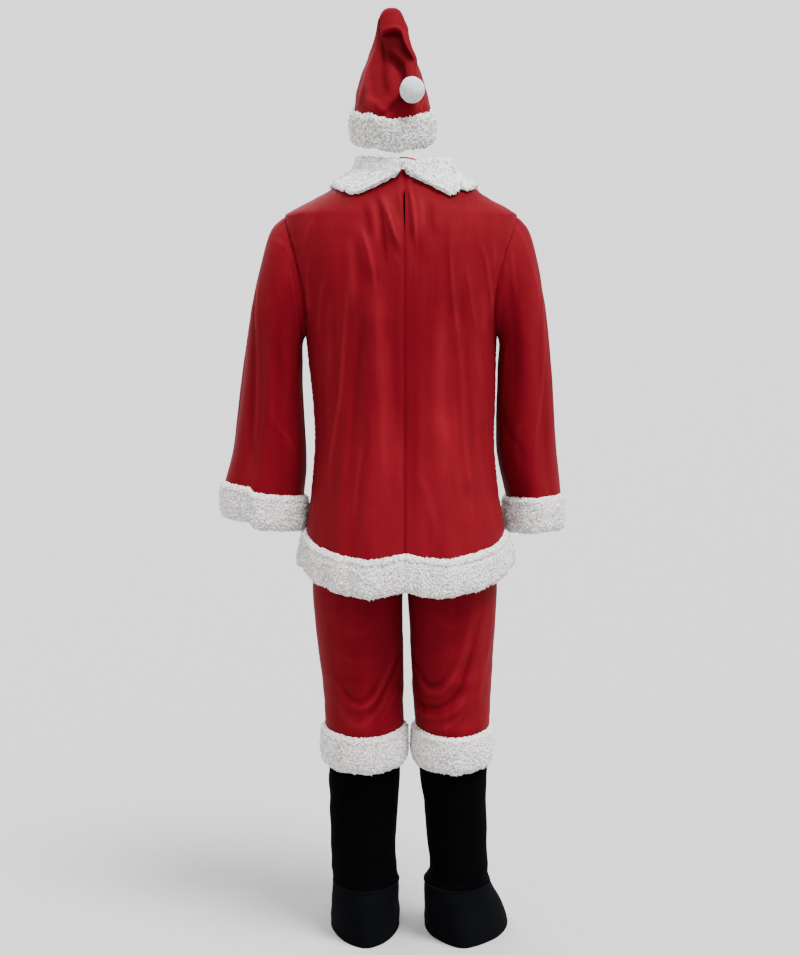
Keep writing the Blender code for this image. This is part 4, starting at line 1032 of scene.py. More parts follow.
def make_plush(name, base, ring, seed, mat, locks, out_side, end_round=0.007, long=(0.0026, 0.0052),
               thick=0.0008, curl=1.0):
    """Curled pile on a band or collar: base is a grid of closed cross-sections."""
    normals = grid_normals(base, True, ring)
    centre = base.mean(axis=1)
    normals = outwards(base, normals, centre)
    if not ring:
        run = run_lengths(base, 0).mean(axis=1)
        to_end = np.minimum(run, run[-1] - run)
        rounded = np.sqrt(np.clip(1 - (1 - np.clip(to_end / end_round, 0, 1)) ** 2, 0.02, 1))
        base = centre[:, None] + (base - centre[:, None]) * rounded[:, None, None]
    relief, pile = curl_relief(base, seed, curl)
    ragged = noise_vectors(base, 0.006, seed + 50) * 0.0007
    surface = base + normals * relief[..., None] + ragged
    rows, columns = base.shape[:2]
    points, groups = surface.reshape(-1, 3), [ring_quads(rows, columns, ring)]
    # the pile attribute carries painted shade: low values, down in the crevices, are painted greyer
    values = pile.ravel()
    if not ring:
        tips = surface[[0, -1]].mean(axis=1)
        points = np.concatenate([points, tips])
        values = np.concatenate([values, [0.5, 0.5]])
        groups.append(end_fans(rows, columns))
    make_mesh(name, points, groups, mat, attribute={"pile": values}, sharp_degrees=None)
    make_locks(f"{name}_locks", surface, normals, locks, out_side, seed + 70, mat, long, thick)


LOCK_SIDES, LOCK_STAGES = 3, (0.0, 0.42, 0.78)


def make_locks(name, surface, normals, count, out_side, seed, mat, length, thickness):
    """Loose curled locks of pile that stand up from a surface: bent, tapered strands."""
    random = np.random.default_rng(seed)
    rows, columns = surface.shape[:2]
    allowed = np.flatnonzero(np.broadcast_to(out_side, (rows, columns)).ravel())
    picked = random.choice(allowed, count, replace=False)
    base = surface.reshape(-1, 3)[picked]
    normal = unit(normals.reshape(-1, 3)[picked])
    any_way = unit(random.normal(size=(count, 3)))
    sideways = unit(any_way - (any_way * normal).sum(1, keepdims=True) * normal)
    other = np.cross(normal, sideways)
    lean = random.uniform(0.5, 1.5, count)[:, None]
    start = unit(normal + sideways * lean)
    bend = unit(other * random.uniform(-1, 1, count)[:, None] - normal * 0.75 - sideways * 0.2)
    long = random.uniform(*length, count)[:, None]
    long *= 1 + 1.1 * (random.uniform(0, 1, count)[:, None] > 0.965)
    thick = thickness * random.uniform(0.7, 1.25, count)[:, None]
    across = unit(np.cross(start, other + 0.01))
    up = np.cross(start, across)
    rings = []
    for stage in LOCK_STAGES:
        middle = base - normal * 0.0006 + (start * stage + bend * 0.55 * stage ** 2) * long
        for k in range(LOCK_SIDES):
            turn = 2 * math.pi * k / LOCK_SIDES
            reach = thick * (1.0 - 0.45 * stage)
            rings.append(middle + (across * math.cos(turn) + up * math.sin(turn)) * reach)
    rings.append(base - normal * 0.0006 + (start + bend * 0.55) * long)
    points = np.stack(rings, axis=1)
    per = points.shape[1]
    offset = (np.arange(count) * per)[:, None, None]
    quads, tris = [], []
    for stage in range(len(LOCK_STAGES) - 1):
        for k in range(LOCK_SIDES):
            m = (k + 1) % LOCK_SIDES
            low, high = stage * LOCK_SIDES, (stage + 1) * LOCK_SIDES
            quads.append([low + k, low + m, high + m, high + k])
    last = (len(LOCK_STAGES) - 1) * LOCK_SIDES
    for k in range(LOCK_SIDES):
        tris.append([last + k, last + (k + 1) % LOCK_SIDES, per - 1])
    tris.append([2, 1, 0])
    groups = [(np.array(quads)[None] + offset).reshape(-1, 4), (np.array(tris)[None] + offset).reshape(-1, 3)]
    # painted shade: each lock greyer at its root, down among the pile, and whiter towards its tip
    shade = np.concatenate([np.full(LOCK_SIDES, 0.45 + 0.2 * stage) for stage in LOCK_STAGES] + [[0.95]])
    values = (shade[None, :] * random.uniform(0.85, 1.1, count)[:, None]).ravel()
    make_mesh(name, points.reshape(-1, 3), groups, mat, attribute={"pile": values}, sharp_degrees=None)


BAND_CURVE = closed_curve(BAND_PROFILE)


def make_band(name, edge, down, out, height, ring, seed, mat, locks, ridge=0.0, curl=1.0):
    """A plush band below a cloth edge. A ridge is where its seam turns the top edge over."""
    profile = spaced(BAND_CURVE, np.array([PLUSH, height]), BAND_CURVE[:, 0] > 0.0, PILE_SPACING)
    line, out = resample(edge, out, PILE_SPACING, ring)
    _, down = resample(edge, down, PILE_SPACING, ring)
    uneven = noise(line, 0.035, seed + 90) * 0.0018 + noise(line, 0.012, seed + 91) * 0.0008
    grid = (
        line[:, None]
        + out[:, None] * (profile[None, :, :1] * PLUSH)
        + down[:, None] * (SEAM_GAP + profile[None, :, 1:] * (height + uneven[:, None, None]))
    )
    drop = profile[:, 1] * height
    rolled = bell(drop - 0.0055, 0.0038) - 0.8 * bell(drop - 0.0135, 0.0035)
    grid += out[:, None] * (ridge * rolled * (profile[:, 0] > 0.1))[None, :, None]
    plump = 1 + 0.10 * noise(line, 0.045, seed + 92)
    grid = line[:, None] + down[:, None] * ((grid - line[:, None]) * down[:, None]).sum(2, keepdims=True) + (
        out[:, None] * ((grid - line[:, None]) * out[:, None]).sum(2, keepdims=True) * plump[:, None, None]
    )
    out_side = (profile[:, 0] > 0.05)[None, :]
    make_plush(name, grid, ring, seed, mat, locks, out_side, curl=curl)


COLLAR_SPACING, COLLAR_LENGTH = 0.0018, 0.30
COLLAR_MEET = -0.040  # radians past the centre back where the upper ends are cut off, so that they touch
COLLAR_MEAN_FALL, COLLAR_ROWS, COLLAR_LOCKS, COLLAR_SEED = 0.047, 190, 1250, 300
RIGHT_COLLAR_DROP = 0.0125  # how much lower the right collar's upper end lies than the left's
COLLAR_CORE = 0.0065  # height above the jacket of the collar's middle layer


def make_collar(side, label, mat):
    """Half a collar: it rises over the neckline and lies on the shoulders, with a slanted back end."""
    curve = closed_curve(COLLAR_PROFILE)
    profile = spaced(curve, np.array([COLLAR_MEAN_FALL, 1.0, 0.0]), curve[:, 1] > 0.0045, COLLAR_SPACING)
    shares = np.linspace(0.0, 1.0, COLLAR_ROWS)[:, None]
    share, lift, rolled = (profile[None, :, k] for k in range(3))
    end = np.clip(np.minimum(shares, 1 - shares) * COLLAR_LENGTH / 0.0060, 0, 1)
    lift = COLLAR_CORE + (lift - COLLAR_CORE) * np.sqrt(np.clip(1 - (1 - end) ** 2, 0.04, 1))
    fallen = np.maximum(share, 0.0)
    turn = COLLAR_MEET + (COLLAR_POINT[side] + COLLAR_START - COLLAR_MEET) * fallen
    turn = turn + (math.pi - turn) * shares
    height = line_height(NECKLINE, turn) - smooth(COLLAR_FALL, 1, np.degrees(turn)) * fallen
    rise = np.clip(rolled, 0, 1) * COLLAR_ROLL * ease(1 - fallen / COLLAR_ROLL_SHARE)
    if side < 0:
        rise = rise - RIGHT_COLLAR_DROP * ease((0.32 - turn) / 0.30) * ease(1 - fallen / 0.45)
    height = height - 0.0030 * noise(stack(turn, 0.0 * turn, 0.0 * turn), 0.11, 350 + side) * fallen
    grid = body(side, turn, height) + body_normals(side, turn, height) * lift[..., None]
    grid[..., 2] += rise
    grid[..., 0] = side * np.maximum(side * grid[..., 0], SEAM_GAP / 2)
    out_side = (profile[:, 1] > 0.006)[None, :]
    make_plush(f"collar_plush_{label}", grid, False, COLLAR_SEED + side, mat, COLLAR_LOCKS, out_side,
               end_round=0.0005, long=(0.0040, 0.0090), thick=0.0007, curl=1.25)


# ---------------------------------------------------------------- trousers
def leg_fold(angle, height):
    total = np.zeros(np.broadcast(angle, height).shape)
    for degrees, at, width, tall, depth in LEG_FOLDS:
        apart = wrapped(np.degrees(angle) - degrees)
        sag = at - 0.02 * np.cos(np.radians(apart)) ** 2
        total += 0.55 * depth * np.exp(-((apart / width) ** 2) - (((height - sag) / tall) ** 2))
    return total


LEG_COLUMNS, SEAT_ROWS, LEG_ROWS = 104, 14, 84
LEG_EDGE_DIP = 0.011  # how much lower the leg's edge hangs in the middle of the back


def make_trousers(side, label, creases, red):
    angle = 2 * math.pi * np.arange(LEG_COLUMNS + 1) / LEG_COLUMNS
    degrees = np.degrees(angle)
    column = 1 if side > 0 else 3
    top = LEGS[0]
    rows = []
    # painted shade: the seat's rows painted a little darker
    painted_shadings = [np.full(LEG_COLUMNS + 1, -0.25)] * SEAT_ROWS
    for height in np.linspace(SEAT[0][0], SEAT[-1][0], SEAT_ROWS + 1)[:-1]:
        half_width, back, front, share = values_at(SEAT, range(1, 5), height)
        leg_x = top[column] - top[column + 1] * np.cos(angle)
        leg_y = top[6] + top[5] * np.sin(angle)
        depth = np.where(angle <= math.pi, back, front)
        waves = np.sin(degrees * 0.62 + 4 * np.sin(degrees * 0.05))
        gather = 1 + 0.016 * ease((height - 0.93) / 0.09) * waves
        x = (1 - share) * leg_x + share * half_width * np.sin(angle / 2) * gather
        y = (1 - share) * leg_y + share * depth * np.cos(angle / 2) * gather
        rows.append(stack(side * np.maximum(x, SEAM_GAP / 2), y, height))
    for height in np.linspace(LEGS[0][0], LEGS[-1][0], LEG_ROWS + 1):
        centre, half_width, half_depth, y = values_at(LEGS, (column, column + 1, 5, 6), height)
        creased = line_crease(degrees, np.full(len(angle), height), creases, 0.083)
        # painted highlight on the creases' crests and painted shade in their valleys, and the legs painted a
        # little darker overall
        painted_shadings.append(creased / FOLD_SHADING_HEIGHT - 0.25)
        out = 1 + (leg_fold(angle, height) + creased) / half_depth
        x = centre - half_width * out * np.cos(angle)
        dip = LEG_EDGE_DIP * ease((0.60 - height) / 0.15) * np.maximum(np.sin(angle), 0.0) ** 1.5
        y = y + half_depth * out * np.sin(angle)
        rows.append(stack(side * np.maximum(x, SEAM_GAP / 2), y, height - dip))
    outer = np.array(rows)
    centre = outer[:, :-1].mean(axis=1)
    upper = grid_normals(outer[: SEAT_ROWS + 1], False)
    upper = outwards(outer[: SEAT_ROWS + 1], upper, centre[: SEAT_ROWS + 1])[:SEAT_ROWS]
    upper[:, [0, -1], 0] = 0.0
    lower = grid_normals(outer[SEAT_ROWS:, :-1], True)
    lower = outwards(outer[SEAT_ROWS:, :-1], lower, centre[SEAT_ROWS:])
    normals = np.concatenate([unit(upper), closed_columns(lower)])
    seam = np.abs(wrapped(degrees))[None, :] / 360 * 0.5
    dip = np.where(seam < 0.03, seam_dip(seam), 0.0)
    weave = 0.0008 * noise(outer, 0.045, 31 + side) + 0.0003 * noise(outer, 0.018, 37 + side)
    weave[:, [0, -1]] = 0.0
    outer = outer + normals * (dip + weave)[..., None]
    outer[..., 0] = side * np.maximum(side * outer[..., 0], SEAM_GAP / 2)
    inner = outer - normals * CLOTH
    out = unit(lower[-1] * LEVEL)
    inner[-1] = outer[-1] - closed_columns(out[None])[0] * CLOTH
    make_wall(f"trousers_cloth_{label}", outer, inner, red, open_rows=SEAT_ROWS,
              attribute={"fold": np.array(painted_shadings)})
    return outer[0], outer[-1, :-1], out


GATHER_SPACING, CASING_ROWS = 0.0032, 8


def make_waistband(edges, red):
    """The elastic casing round the waist: small gathers between a row of stitches at its top and bottom."""
    ring = np.concatenate([edges[1][:-1], edges[-1][:0:-1]])
    line, _ = resample(ring, ring, GATHER_SPACING, True)
    middle = line.mean(axis=0)
    out = unit((line - middle) * LEVEL)
    run = np.arange(len(line)) * GATHER_SPACING
    rows = np.linspace(0.0, 1.0, CASING_ROWS)
    gather = np.sin(run / 0.0098 * 2 * math.pi + 2.2 * np.sin(run / 0.061))
    outer, inner = [], []
    for row in rows:
        puff = 0.0010 * math.sin(math.pi * min(max((row - 0.12) / 0.76, 0.0), 1.0)) - 0.0006
        depth = puff + gather * 0.0009 * (0.4 + 0.6 * math.sin(math.pi * row))
        base = line + np.array([0.0, 0.0, SEAM_GAP + row * WAISTBAND_HEIGHT])
        outer.append(base + out * depth[:, None])
        inner.append(base - out * (WAISTBAND_THICKNESS - 0.0006 + 0.5 * depth)[:, None])
    outer, inner = np.array(outer)[::-1], np.array(inner)[::-1]
    make_tube("waistband_cloth", outer, inner, red)


# ---------------------------------------------------------------- boot covers
BOOT_COLUMNS, SHAFT_ROWS, FOOT_ROWS = 64, 46, 36


def make_boot(side, label, black, highlit_foot_black):
    angle = around(BOOT_COLUMNS)
    column = 1 if side > 0 else 3
    step = [(row[0], i / (len(SHAFTS) - 1.0)) for i, row in enumerate(SHAFTS)]
    rows = []
    for height in np.linspace(SHAFTS[0][0], SHAFTS[-1][0], SHAFT_ROWS):
        centre, half_width, half_depth, y_middle = values_at(SHAFTS, (column, column + 1, 5, 6), height)
        tilt = ANKLE_TILT * float(ease(smooth(step, 1, height)))
        x = side * (centre + half_width * np.sin(angle))
        y = y_middle + half_depth * np.cos(angle)
        rows.append(stack(x, y, height - tilt * (y - y_middle)))
    ankle = rows[-1]
    toe_out = TOE_OUT[side]
    forward = np.array([side * math.sin(toe_out), -math.cos(toe_out), 0.0])
    outside = np.array([side * math.cos(toe_out), math.sin(toe_out), 0.0])
    heel = np.array([side * HEEL_X[side], HEEL_Y, 0.0])
    share = (1 - np.cos(angle)) / 2
    half_width = smooth(SOLE, 1 if side > 0 else 2, share)
    rounded = np.sign(np.sin(angle)) * np.abs(np.sin(angle)) ** SOLE_ROUNDNESS
    sole = heel + (share * FOOT_LENGTH)[:, None] * forward + (half_width * rounded)[:, None] * outside
    foot = []
    indexed = numbered(FOOT_PROFILE)
    for k in np.linspace(0, len(FOOT_PROFILE) - 1.0, FOOT_ROWS):
        way_out, way_up = values_at(indexed, (1, 2), k)
        ring = ankle + (sole - ankle) * way_out
        ring[:, 2] = ankle[:, 2] * way_up
        foot.append(ring)
    shaft, foot = np.array(rows), np.array(foot)
    for name, outer, mat, seed in (("shaft", shaft, black, 41), ("foot", foot, highlit_foot_black, 47)):
        normals = outwards(outer, grid_normals(outer, True), outer.mean(axis=1))
        run = run_lengths(outer, 0)
        to_seam = run[-1:] - run if name == "shaft" else run
        broad = 0.0016 * noise(outer * np.array([1, 1, 1.7]), 0.055, seed)
        crumple = broad + 0.0007 * noise(outer, 0.022, seed + 3)
        lift = crumple * ease(to_seam / 0.02)
        if name == "shaft":
            sag = bell(to_seam - 0.030, 0.011) - 0.8 * bell(to_seam - 0.014, 0.007)
            lift += 0.0016 * sag * (1 + 0.5 * np.cos(angle * 2 + 1.0))
            lift += seam_dip(to_seam)
        else:
            lift += 0.0016 * bell(to_seam, 0.006)
            lift += seam_dip(0.13 * np.abs(wrapped(np.degrees(angle)))[None, :] / 90)
            lift[-1] = 0.0
        outer = outer + normals * lift[..., None]
        inner = outer - normals * BOOT_CLOTH
        if name == "foot":
            outer[:, :, 2] = np.maximum(outer[:, :, 2], 0.0)
            inner[:, :, 2] = np.maximum(inner[:, :, 2], 0.0)
            outer[-1, :, 2] = 0.0
            inner[-1, :, 2] = 0.0
        make_tube(f"boot_{name}_cloth_{label}", outer, inner, mat)


# ---------------------------------------------------------------- hat
def hat_frame(pitch, lean):
    """A ring's width, depth and length directions: pitched about X, then leaned about Y."""
    p, q = math.radians(pitch), math.radians(lean)
    turn = np.array([[math.cos(q), 0, math.sin(q)], [0, 1, 0], [-math.sin(q), 0, math.cos(q)]])
    width = turn @ np.array([1.0, 0.0, 0.0])
    depth = turn @ np.array([0.0, math.cos(p), -math.sin(p)])
    length = turn @ np.array([0.0, math.sin(p), math.cos(p)])
    return width, depth, length


HAT_COLUMNS, HAT_ROWS = 84, 176


def flap_dent(k, angle):
    """How far the folded-over end's near face is pushed in at a ring: a pocket below the fold's lip."""
    near, across = np.maximum(-np.sin(angle), 0.0), np.cos(angle)
    beyond = np.hypot(max(12.85 - k, 0.0) / 0.90, np.maximum(0.05 - across, 0.0) / 0.60)
    pocket = ease((0.98 - beyond) / 0.24) * ease((15.3 - k) / 1.2)
    ridge = 0.60 * ease((k - 13.1) / 0.5) * bell(across - 0.60, 0.28)
    lip = bell(beyond - 1.10, 0.16) * ease((14.6 - k) / 1.6)
    return near ** 0.5 * (0.0092 * pocket * (1 - ridge) - 0.0036 * lip)


def make_hat(red):
    angle = around(HAT_COLUMNS)
    degrees = np.degrees(angle)
    indexed = numbered(HAT)
    outer, centres, painted_shadings = [], [], []
    places = np.linspace(0, len(HAT) - 1.0, HAT_ROWS)
    for k in places:
        x, y, z, half_width, half_depth, pitch, lean = values_at(indexed, range(1, 8), k)
        width, depth, _ = hat_frame(pitch, lean)
        out = crease(degrees, np.full(HAT_COLUMNS, k), HAT_CREASES, 0.6)
        out = out * ease((7.0 - k) / 1.2) * (0.4 + 0.6 * half_depth / 0.07)
        centres.append(np.array([x, y, z]))
        # painted shade: the pocket below the fold's lip painted much darker and the hat a little darker
        # overall; the crown's creases get a painted highlight on their crests and painted shade in their
        # valleys
        dark = 1.3 * ease((k - 11.6) / 0.8) + 0.25 * ease((k - 0.5) / 2.0)
        painted_shadings.append((out - dark * np.maximum(flap_dent(k, angle), 0.0)) / FOLD_SHADING_HEIGHT - 0.3)
        ring = (
            centres[-1]
            + ((half_width + out) * np.cos(angle))[:, None] * width
            + ((half_depth + out - flap_dent(k, angle)) * np.sin(angle))[:, None] * depth
        )
        dome = ease((k - 7.0) / 1.2) * ease((11.0 - k) / 1.2)
        ring[:, 2] += dome * (0.0022 - 0.0095 * np.abs(np.cos(angle)) ** 3)
        outer.append(ring)
    outer, centres = np.array(outer), np.array(centres)
    sag = bell(degrees - 92, 26) - 0.55 * bell(degrees - 58, 12)
    outer[..., 2] -= 0.0055 * sag * ease((1.2 - places) / 1.2)[:, None]
    normals = outwards(outer, grid_normals(outer, True), centres)
    weave = 0.0009 * noise(outer, 0.030, 61) + 0.0004 * noise(outer, 0.012, 67)
    fade = np.minimum(ease(places / 0.85), 0.35 + 0.65 * ease((10.2 - places) / 2.1))
    outer = outer + normals * (weave * fade[:, None])[..., None]
    inner = outer - normals * CLOTH
    _, _, tip = hat_frame(*HAT[-1][5:])
    inner[-1] -= tip * CLOTH
    make_tube("hat_cloth", outer, inner, red, capped=True, painted_shading=np.array(painted_shadings))
    _, _, length = hat_frame(*HAT[0][5:])
    out = unit(outer[0] - outer[0].mean(axis=0))
    return outer[0], np.broadcast_to(-length, outer[0].shape), out


POMPOM_LOCKS, POMPOM_RINGS, POMPOM_SEGMENTS = 2600, 90, 140


def make_pompom(mat):
    """A clipped ball of yarn: fine ends all over, with the faint hollow where it is tied to the tip."""
    width, depth, length = hat_frame(*HAT[-1][5:])
    centre = np.array(HAT[-1][:3]) + length * (POMPOM_RADIUS + SEAM_GAP)
    polar = (np.arange(1, POMPOM_RINGS) * math.pi / POMPOM_RINGS)[:, None]
    turn = around(POMPOM_SEGMENTS)[None, :]
    across = np.cos(turn)[..., None] * width + np.sin(turn)[..., None] * depth
    out = np.sin(polar)[..., None] * across - np.cos(polar)[..., None] * length
    place = out * POMPOM_RADIUS
    near, second = lumps(place, 0.0024, 81)
    ends = np.clip((second - near) / 0.6, 0, 1)
    tied = 0.0016 * bell(polar, 0.30)
    radius = POMPOM_RADIUS - 0.0018 + 0.0009 * ends + 0.0007 * noise(place, 0.011, 85) - tied
    surface = centre + out * radius[..., None] * np.array([0.95, 0.97, 1.0])
    poles = np.stack([centre - length * (POMPOM_RADIUS - 0.0026), centre + length * (POMPOM_RADIUS - 0.0006)])
    groups = [ring_quads(POMPOM_RINGS - 1, POMPOM_SEGMENTS), end_fans(POMPOM_RINGS - 1, POMPOM_SEGMENTS)]
    # painted shade: greyer between the yarn ends and at the tied end
    values = np.concatenate([ends.ravel(), [0.3, 0.6]])
    make_mesh("pompom_yarn", np.concatenate([surface.reshape(-1, 3), poles]), groups, mat,
              attribute={"pile": values}, sharp_degrees=None)
    bushy = np.broadcast_to((polar > 0.25) & (polar < math.pi - 0.12), surface.shape[:2])
    make_locks("pompom_yarn_ends", surface, out, POMPOM_LOCKS, bushy, 88, mat, (0.0010, 0.0022), 0.00028)


# ---------------------------------------------------------------- threads
LOOP_PATH = ((0.014, 0.050, 1.5620), (0.0071, 0.061, 1.5687), (-0.0065, 0.067, 1.5675),
             (-0.0190, 0.063, 1.5650), (-0.027, 0.050, 1.5590))
STRAY_THREADS = (
    ((-0.0270, 0.083, 1.6760), (-0.0285, 0.088, 1.6700), (-0.0305, 0.090, 1.6610), (-0.0335, 0.091, 1.6540)),
    ((-0.0360, 0.081, 1.6740), (-0.0345, 0.087, 1.6680), (-0.0325, 0.090, 1.6600), (-0.0350, 0.092, 1.6500)),
)
LOOP_RADIUS, STRAY_RADIUS = 0.0015, 0.00045
THREAD_SAMPLES = 60


def make_thread(name, path, radius, mat, sides):
    """A round thread through the given points (height above the floor), tapered at its ends."""
    points = np.array(path, float)
    t = np.linspace(0, len(points) - 1.0, THREAD_SAMPLES)
    indexed = numbered(points)
    line = np.stack([smooth(indexed, k + 1, t) for k in range(3)], axis=1)
    along = unit(np.gradient(line, axis=0))
    across = unit(np.cross(along, np.array([0.13, 0.2, 1.0])))
    other = np.cross(along, across)
    turn = around(sides)
    index = np.arange(THREAD_SAMPLES)
    ends = np.minimum(index, THREAD_SAMPLES - 1 - index)
    size = radius * np.sqrt(np.clip(ends / 3.0, 0.15, 1.0)) * (1 + 0.12 * np.sin(index * 1.3))
    rings = line[:, None] + size[:, None, None] * (
        np.cos(turn)[None, :, None] * across[:, None] + np.sin(turn)[None, :, None] * other[:, None]
    )
    points = np.concatenate([rings.reshape(-1, 3), line[[0, -1]]])
    groups = [ring_quads(THREAD_SAMPLES, sides), end_fans(THREAD_SAMPLES, sides)]
    make_mesh(name, points, groups, mat, sharp_degrees=None)


# ---------------------------------------------------------------- materials
def shader(name, roughness, **sockets):
    mat = bpy.data.materials.new(name)
    mat.use_nodes = True
    tree = mat.node_tree
    tree.nodes.clear()
    output = tree.nodes.new("ShaderNodeOutputMaterial")
    bsdf = tree.nodes.new("ShaderNodeBsdfPrincipled")
    tree.links.new(bsdf.outputs["BSDF"], output.inputs["Surface"])
    bsdf.inputs["Roughness"].default_value = roughness
    for label, value in sockets.items():
        bsdf.inputs[label.replace("_", " ")].default_value = value
    return mat, tree, bsdf


def node(tree, kind, inputs=(), **settings):
    made = tree.nodes.new(kind)
    for label, value in settings.items():
        setattr(made, label, value)
    for label, value in dict(inputs).items():
        if isinstance(value, bpy.types.NodeSocket):
            tree.links.new(value, made.inputs[label])
        else:
            made.inputs[label].default_value = value
    return made


def ramp(tree, factor, stops):
    made = tree.nodes.new("ShaderNodeValToRGB")
    tree.links.new(factor, made.inputs["Fac"])
    elements = made.color_ramp.elements
    for i, (at, colour) in enumerate(stops):
        element = elements[i] if i < 2 else elements.new(at)
        element.position = at
        element.color = (*colour, 1.0)
    return made.outputs["Color"]


def object_noise(tree, scale, stretch=(1.0, 1.0, 1.0), detail=3.0, roughness=0.5):
    place = node(tree, "ShaderNodeTexCoord").outputs["Object"]
    mapped = node(tree, "ShaderNodeMapping", {"Vector": place, "Scale": stretch}).outputs["Vector"]
    inputs = {"Vector": mapped, "Scale": scale, "Detail": detail, "Roughness": roughness}
    return node(tree, "ShaderNodeTexNoise", inputs).outputs["Fac"]


def mixed(tree, factor, first, second, blend="MIX"):
    made = tree.nodes.new("ShaderNodeMix")
    made.data_type = "RGBA"
    made.blend_type = blend
    for socket, value in ((made.inputs[0], factor), (made.inputs[6], first), (made.inputs[7], second)):
        if isinstance(value, bpy.types.NodeSocket):
            tree.links.new(value, socket)
        elif isinstance(value, (int, float)):
            socket.default_value = value
        else:
            socket.default_value = (*value, 1.0)
    return made.outputs[2]


def weave_height(tree, pitch_across, pitch_along):
    """A knitted surface's relief from the piece's own flat coordinates, in metres."""
    flat = node(tree, "ShaderNodeUVMap", uv_map="weave").outputs["UV"]
    waves = []
    for pitch, direction in ((pitch_across, "X"), (pitch_along, "Y")):
        wave = node(tree, "ShaderNodeTexWave", {"Vector": flat, "Scale": 0.314 / pitch, "Distortion": 1.2,
                                                "Detail": 2.0, "Detail Scale": 2.0},
                    wave_type="BANDS", bands_direction=direction)
        waves.append(wave.outputs["Fac"])
    return node(tree, "ShaderNodeMath", {0: waves[0], 1: waves[1]}, operation="MULTIPLY").outputs[0]


def bump(tree, bsdf, *layers):
    """Chains bump layers, each a height with its strength and distance."""
    normal = None
    for height, strength, distance in layers:
        made = node(tree, "ShaderNodeBump", {"Height": height, "Strength": strength, "Distance": distance})
        if normal is not None:
            tree.links.new(normal, made.inputs["Normal"])
        normal = made.outputs["Normal"]
    tree.links.new(normal, bsdf.inputs["Normal"])


def red_material():
    """Brushed satin-faced knit: fine vertical ribs, soft streaks and a faint sheen, with painted highlights
    on the creases' crests and painted shade in their valleys, the seams, the hat's pocket and below the
    collar.
    """
    mat, tree, bsdf = shader("red_cloth_knit", 0.5, Sheen_Weight=0.04, Sheen_Roughness=0.45,
                             Sheen_Tint=(1.0, 0.10, 0.15, 1.0), Specular_IOR_Level=0.04,
                             Specular_Tint=(1.0, 0.16, 0.22, 1.0))
    streaks = object_noise(tree, 34.0, (1.0, 1.0, 0.12), 4.0, 0.55)
    cloudy = object_noise(tree, 9.0, (1.0, 1.0, 0.6), 2.0)
    fine = object_noise(tree, 950.0, (1.0, 1.0, 0.35), 2.0, 0.6)
    body_colour = ramp(tree, streaks, ((0.30, (0.096, 0.0032, 0.0064)), (0.70, (0.126, 0.0044, 0.0086))))
    toned = mixed(tree, cloudy, body_colour, (0.111, 0.0038, 0.0075))
    # painted shade and highlight from the pieces' fold attribute: down to about a third of the colour in the
    # hat's pocket and below the collar, darker in crease valleys and seams, and lighter and paler on crease
    # crests
    fold = node(tree, "ShaderNodeAttribute", attribute_name="fold").outputs["Fac"]
    limits = {"Value": fold, "From Min": -2.0, "From Max": 1.0}
    crest = node(tree, "ShaderNodeMapRange", limits).outputs["Result"]
    shade = ramp(tree, crest, ((0.0, (0.34, 0.22, 0.26)), (0.33, (0.72, 0.62, 0.64)), (0.66, (1.0, 1.0, 1.0)),
                               (1.0, (1.34, 1.7, 1.55))))
    toned = mixed(tree, 1.0, toned, shade, "MULTIPLY")
    # painted light and shade of faint vertical drape lines: thin streaks of the colour darker, or lighter and
    # paler, as hanging folds would catch light
    hang = object_noise(tree, 46.0, (1.0, 1.0, 0.07), 3.0, 0.6)
    hung = ramp(tree, hang, ((0.30, (0.94, 0.91, 0.92)), (0.52, (1.0, 1.0, 1.0)), (0.72, (1.06, 1.12, 1.10))))
    toned = mixed(tree, 1.0, toned, hung, "MULTIPLY")
    flecks = ramp(tree, fine, ((0.34, (0.80, 0.78, 0.78)), (0.66, (1.12, 1.14, 1.14))))
    tree.links.new(mixed(tree, 0.55, toned, flecks, "MULTIPLY"), bsdf.inputs["Base Color"])
    limits = {"Value": fine, "To Min": 0.58, "To Max": 0.74}
    rough = node(tree, "ShaderNodeMapRange", limits).outputs["Result"]
    tree.links.new(rough, bsdf.inputs["Roughness"])
    bump(tree, bsdf, (weave_height(tree, 0.0011, 0.0015), 0.16, 0.0004), (fine, 0.10, 0.0004))
    return mat


# name, colour down between the curls (painted shade), part way up and on their tops, sheen, curls a metre,
# the painted shade in their gaps
PLUSHES = (
    ("white_sherpa", (0.46, 0.44, 0.425), (0.84, 0.81, 0.795), (0.98, 0.96, 0.945), 0.28, 270.0, 0.5),
    ("white_hat_sherpa", (0.42, 0.405, 0.395), (0.85, 0.83, 0.815), (0.98, 0.965, 0.95), 0.28, 190.0, 0.42),
    ("white_collar_pile", (0.62, 0.61, 0.60), (0.92, 0.91, 0.90), (0.98, 0.975, 0.97), 0.45, 200.0, 0.62),
    ("white_yarn", (0.50, 0.51, 0.53), (0.68, 0.69, 0.71), (0.80, 0.81, 0.83), 0.20, 420.0, 0.85),
)


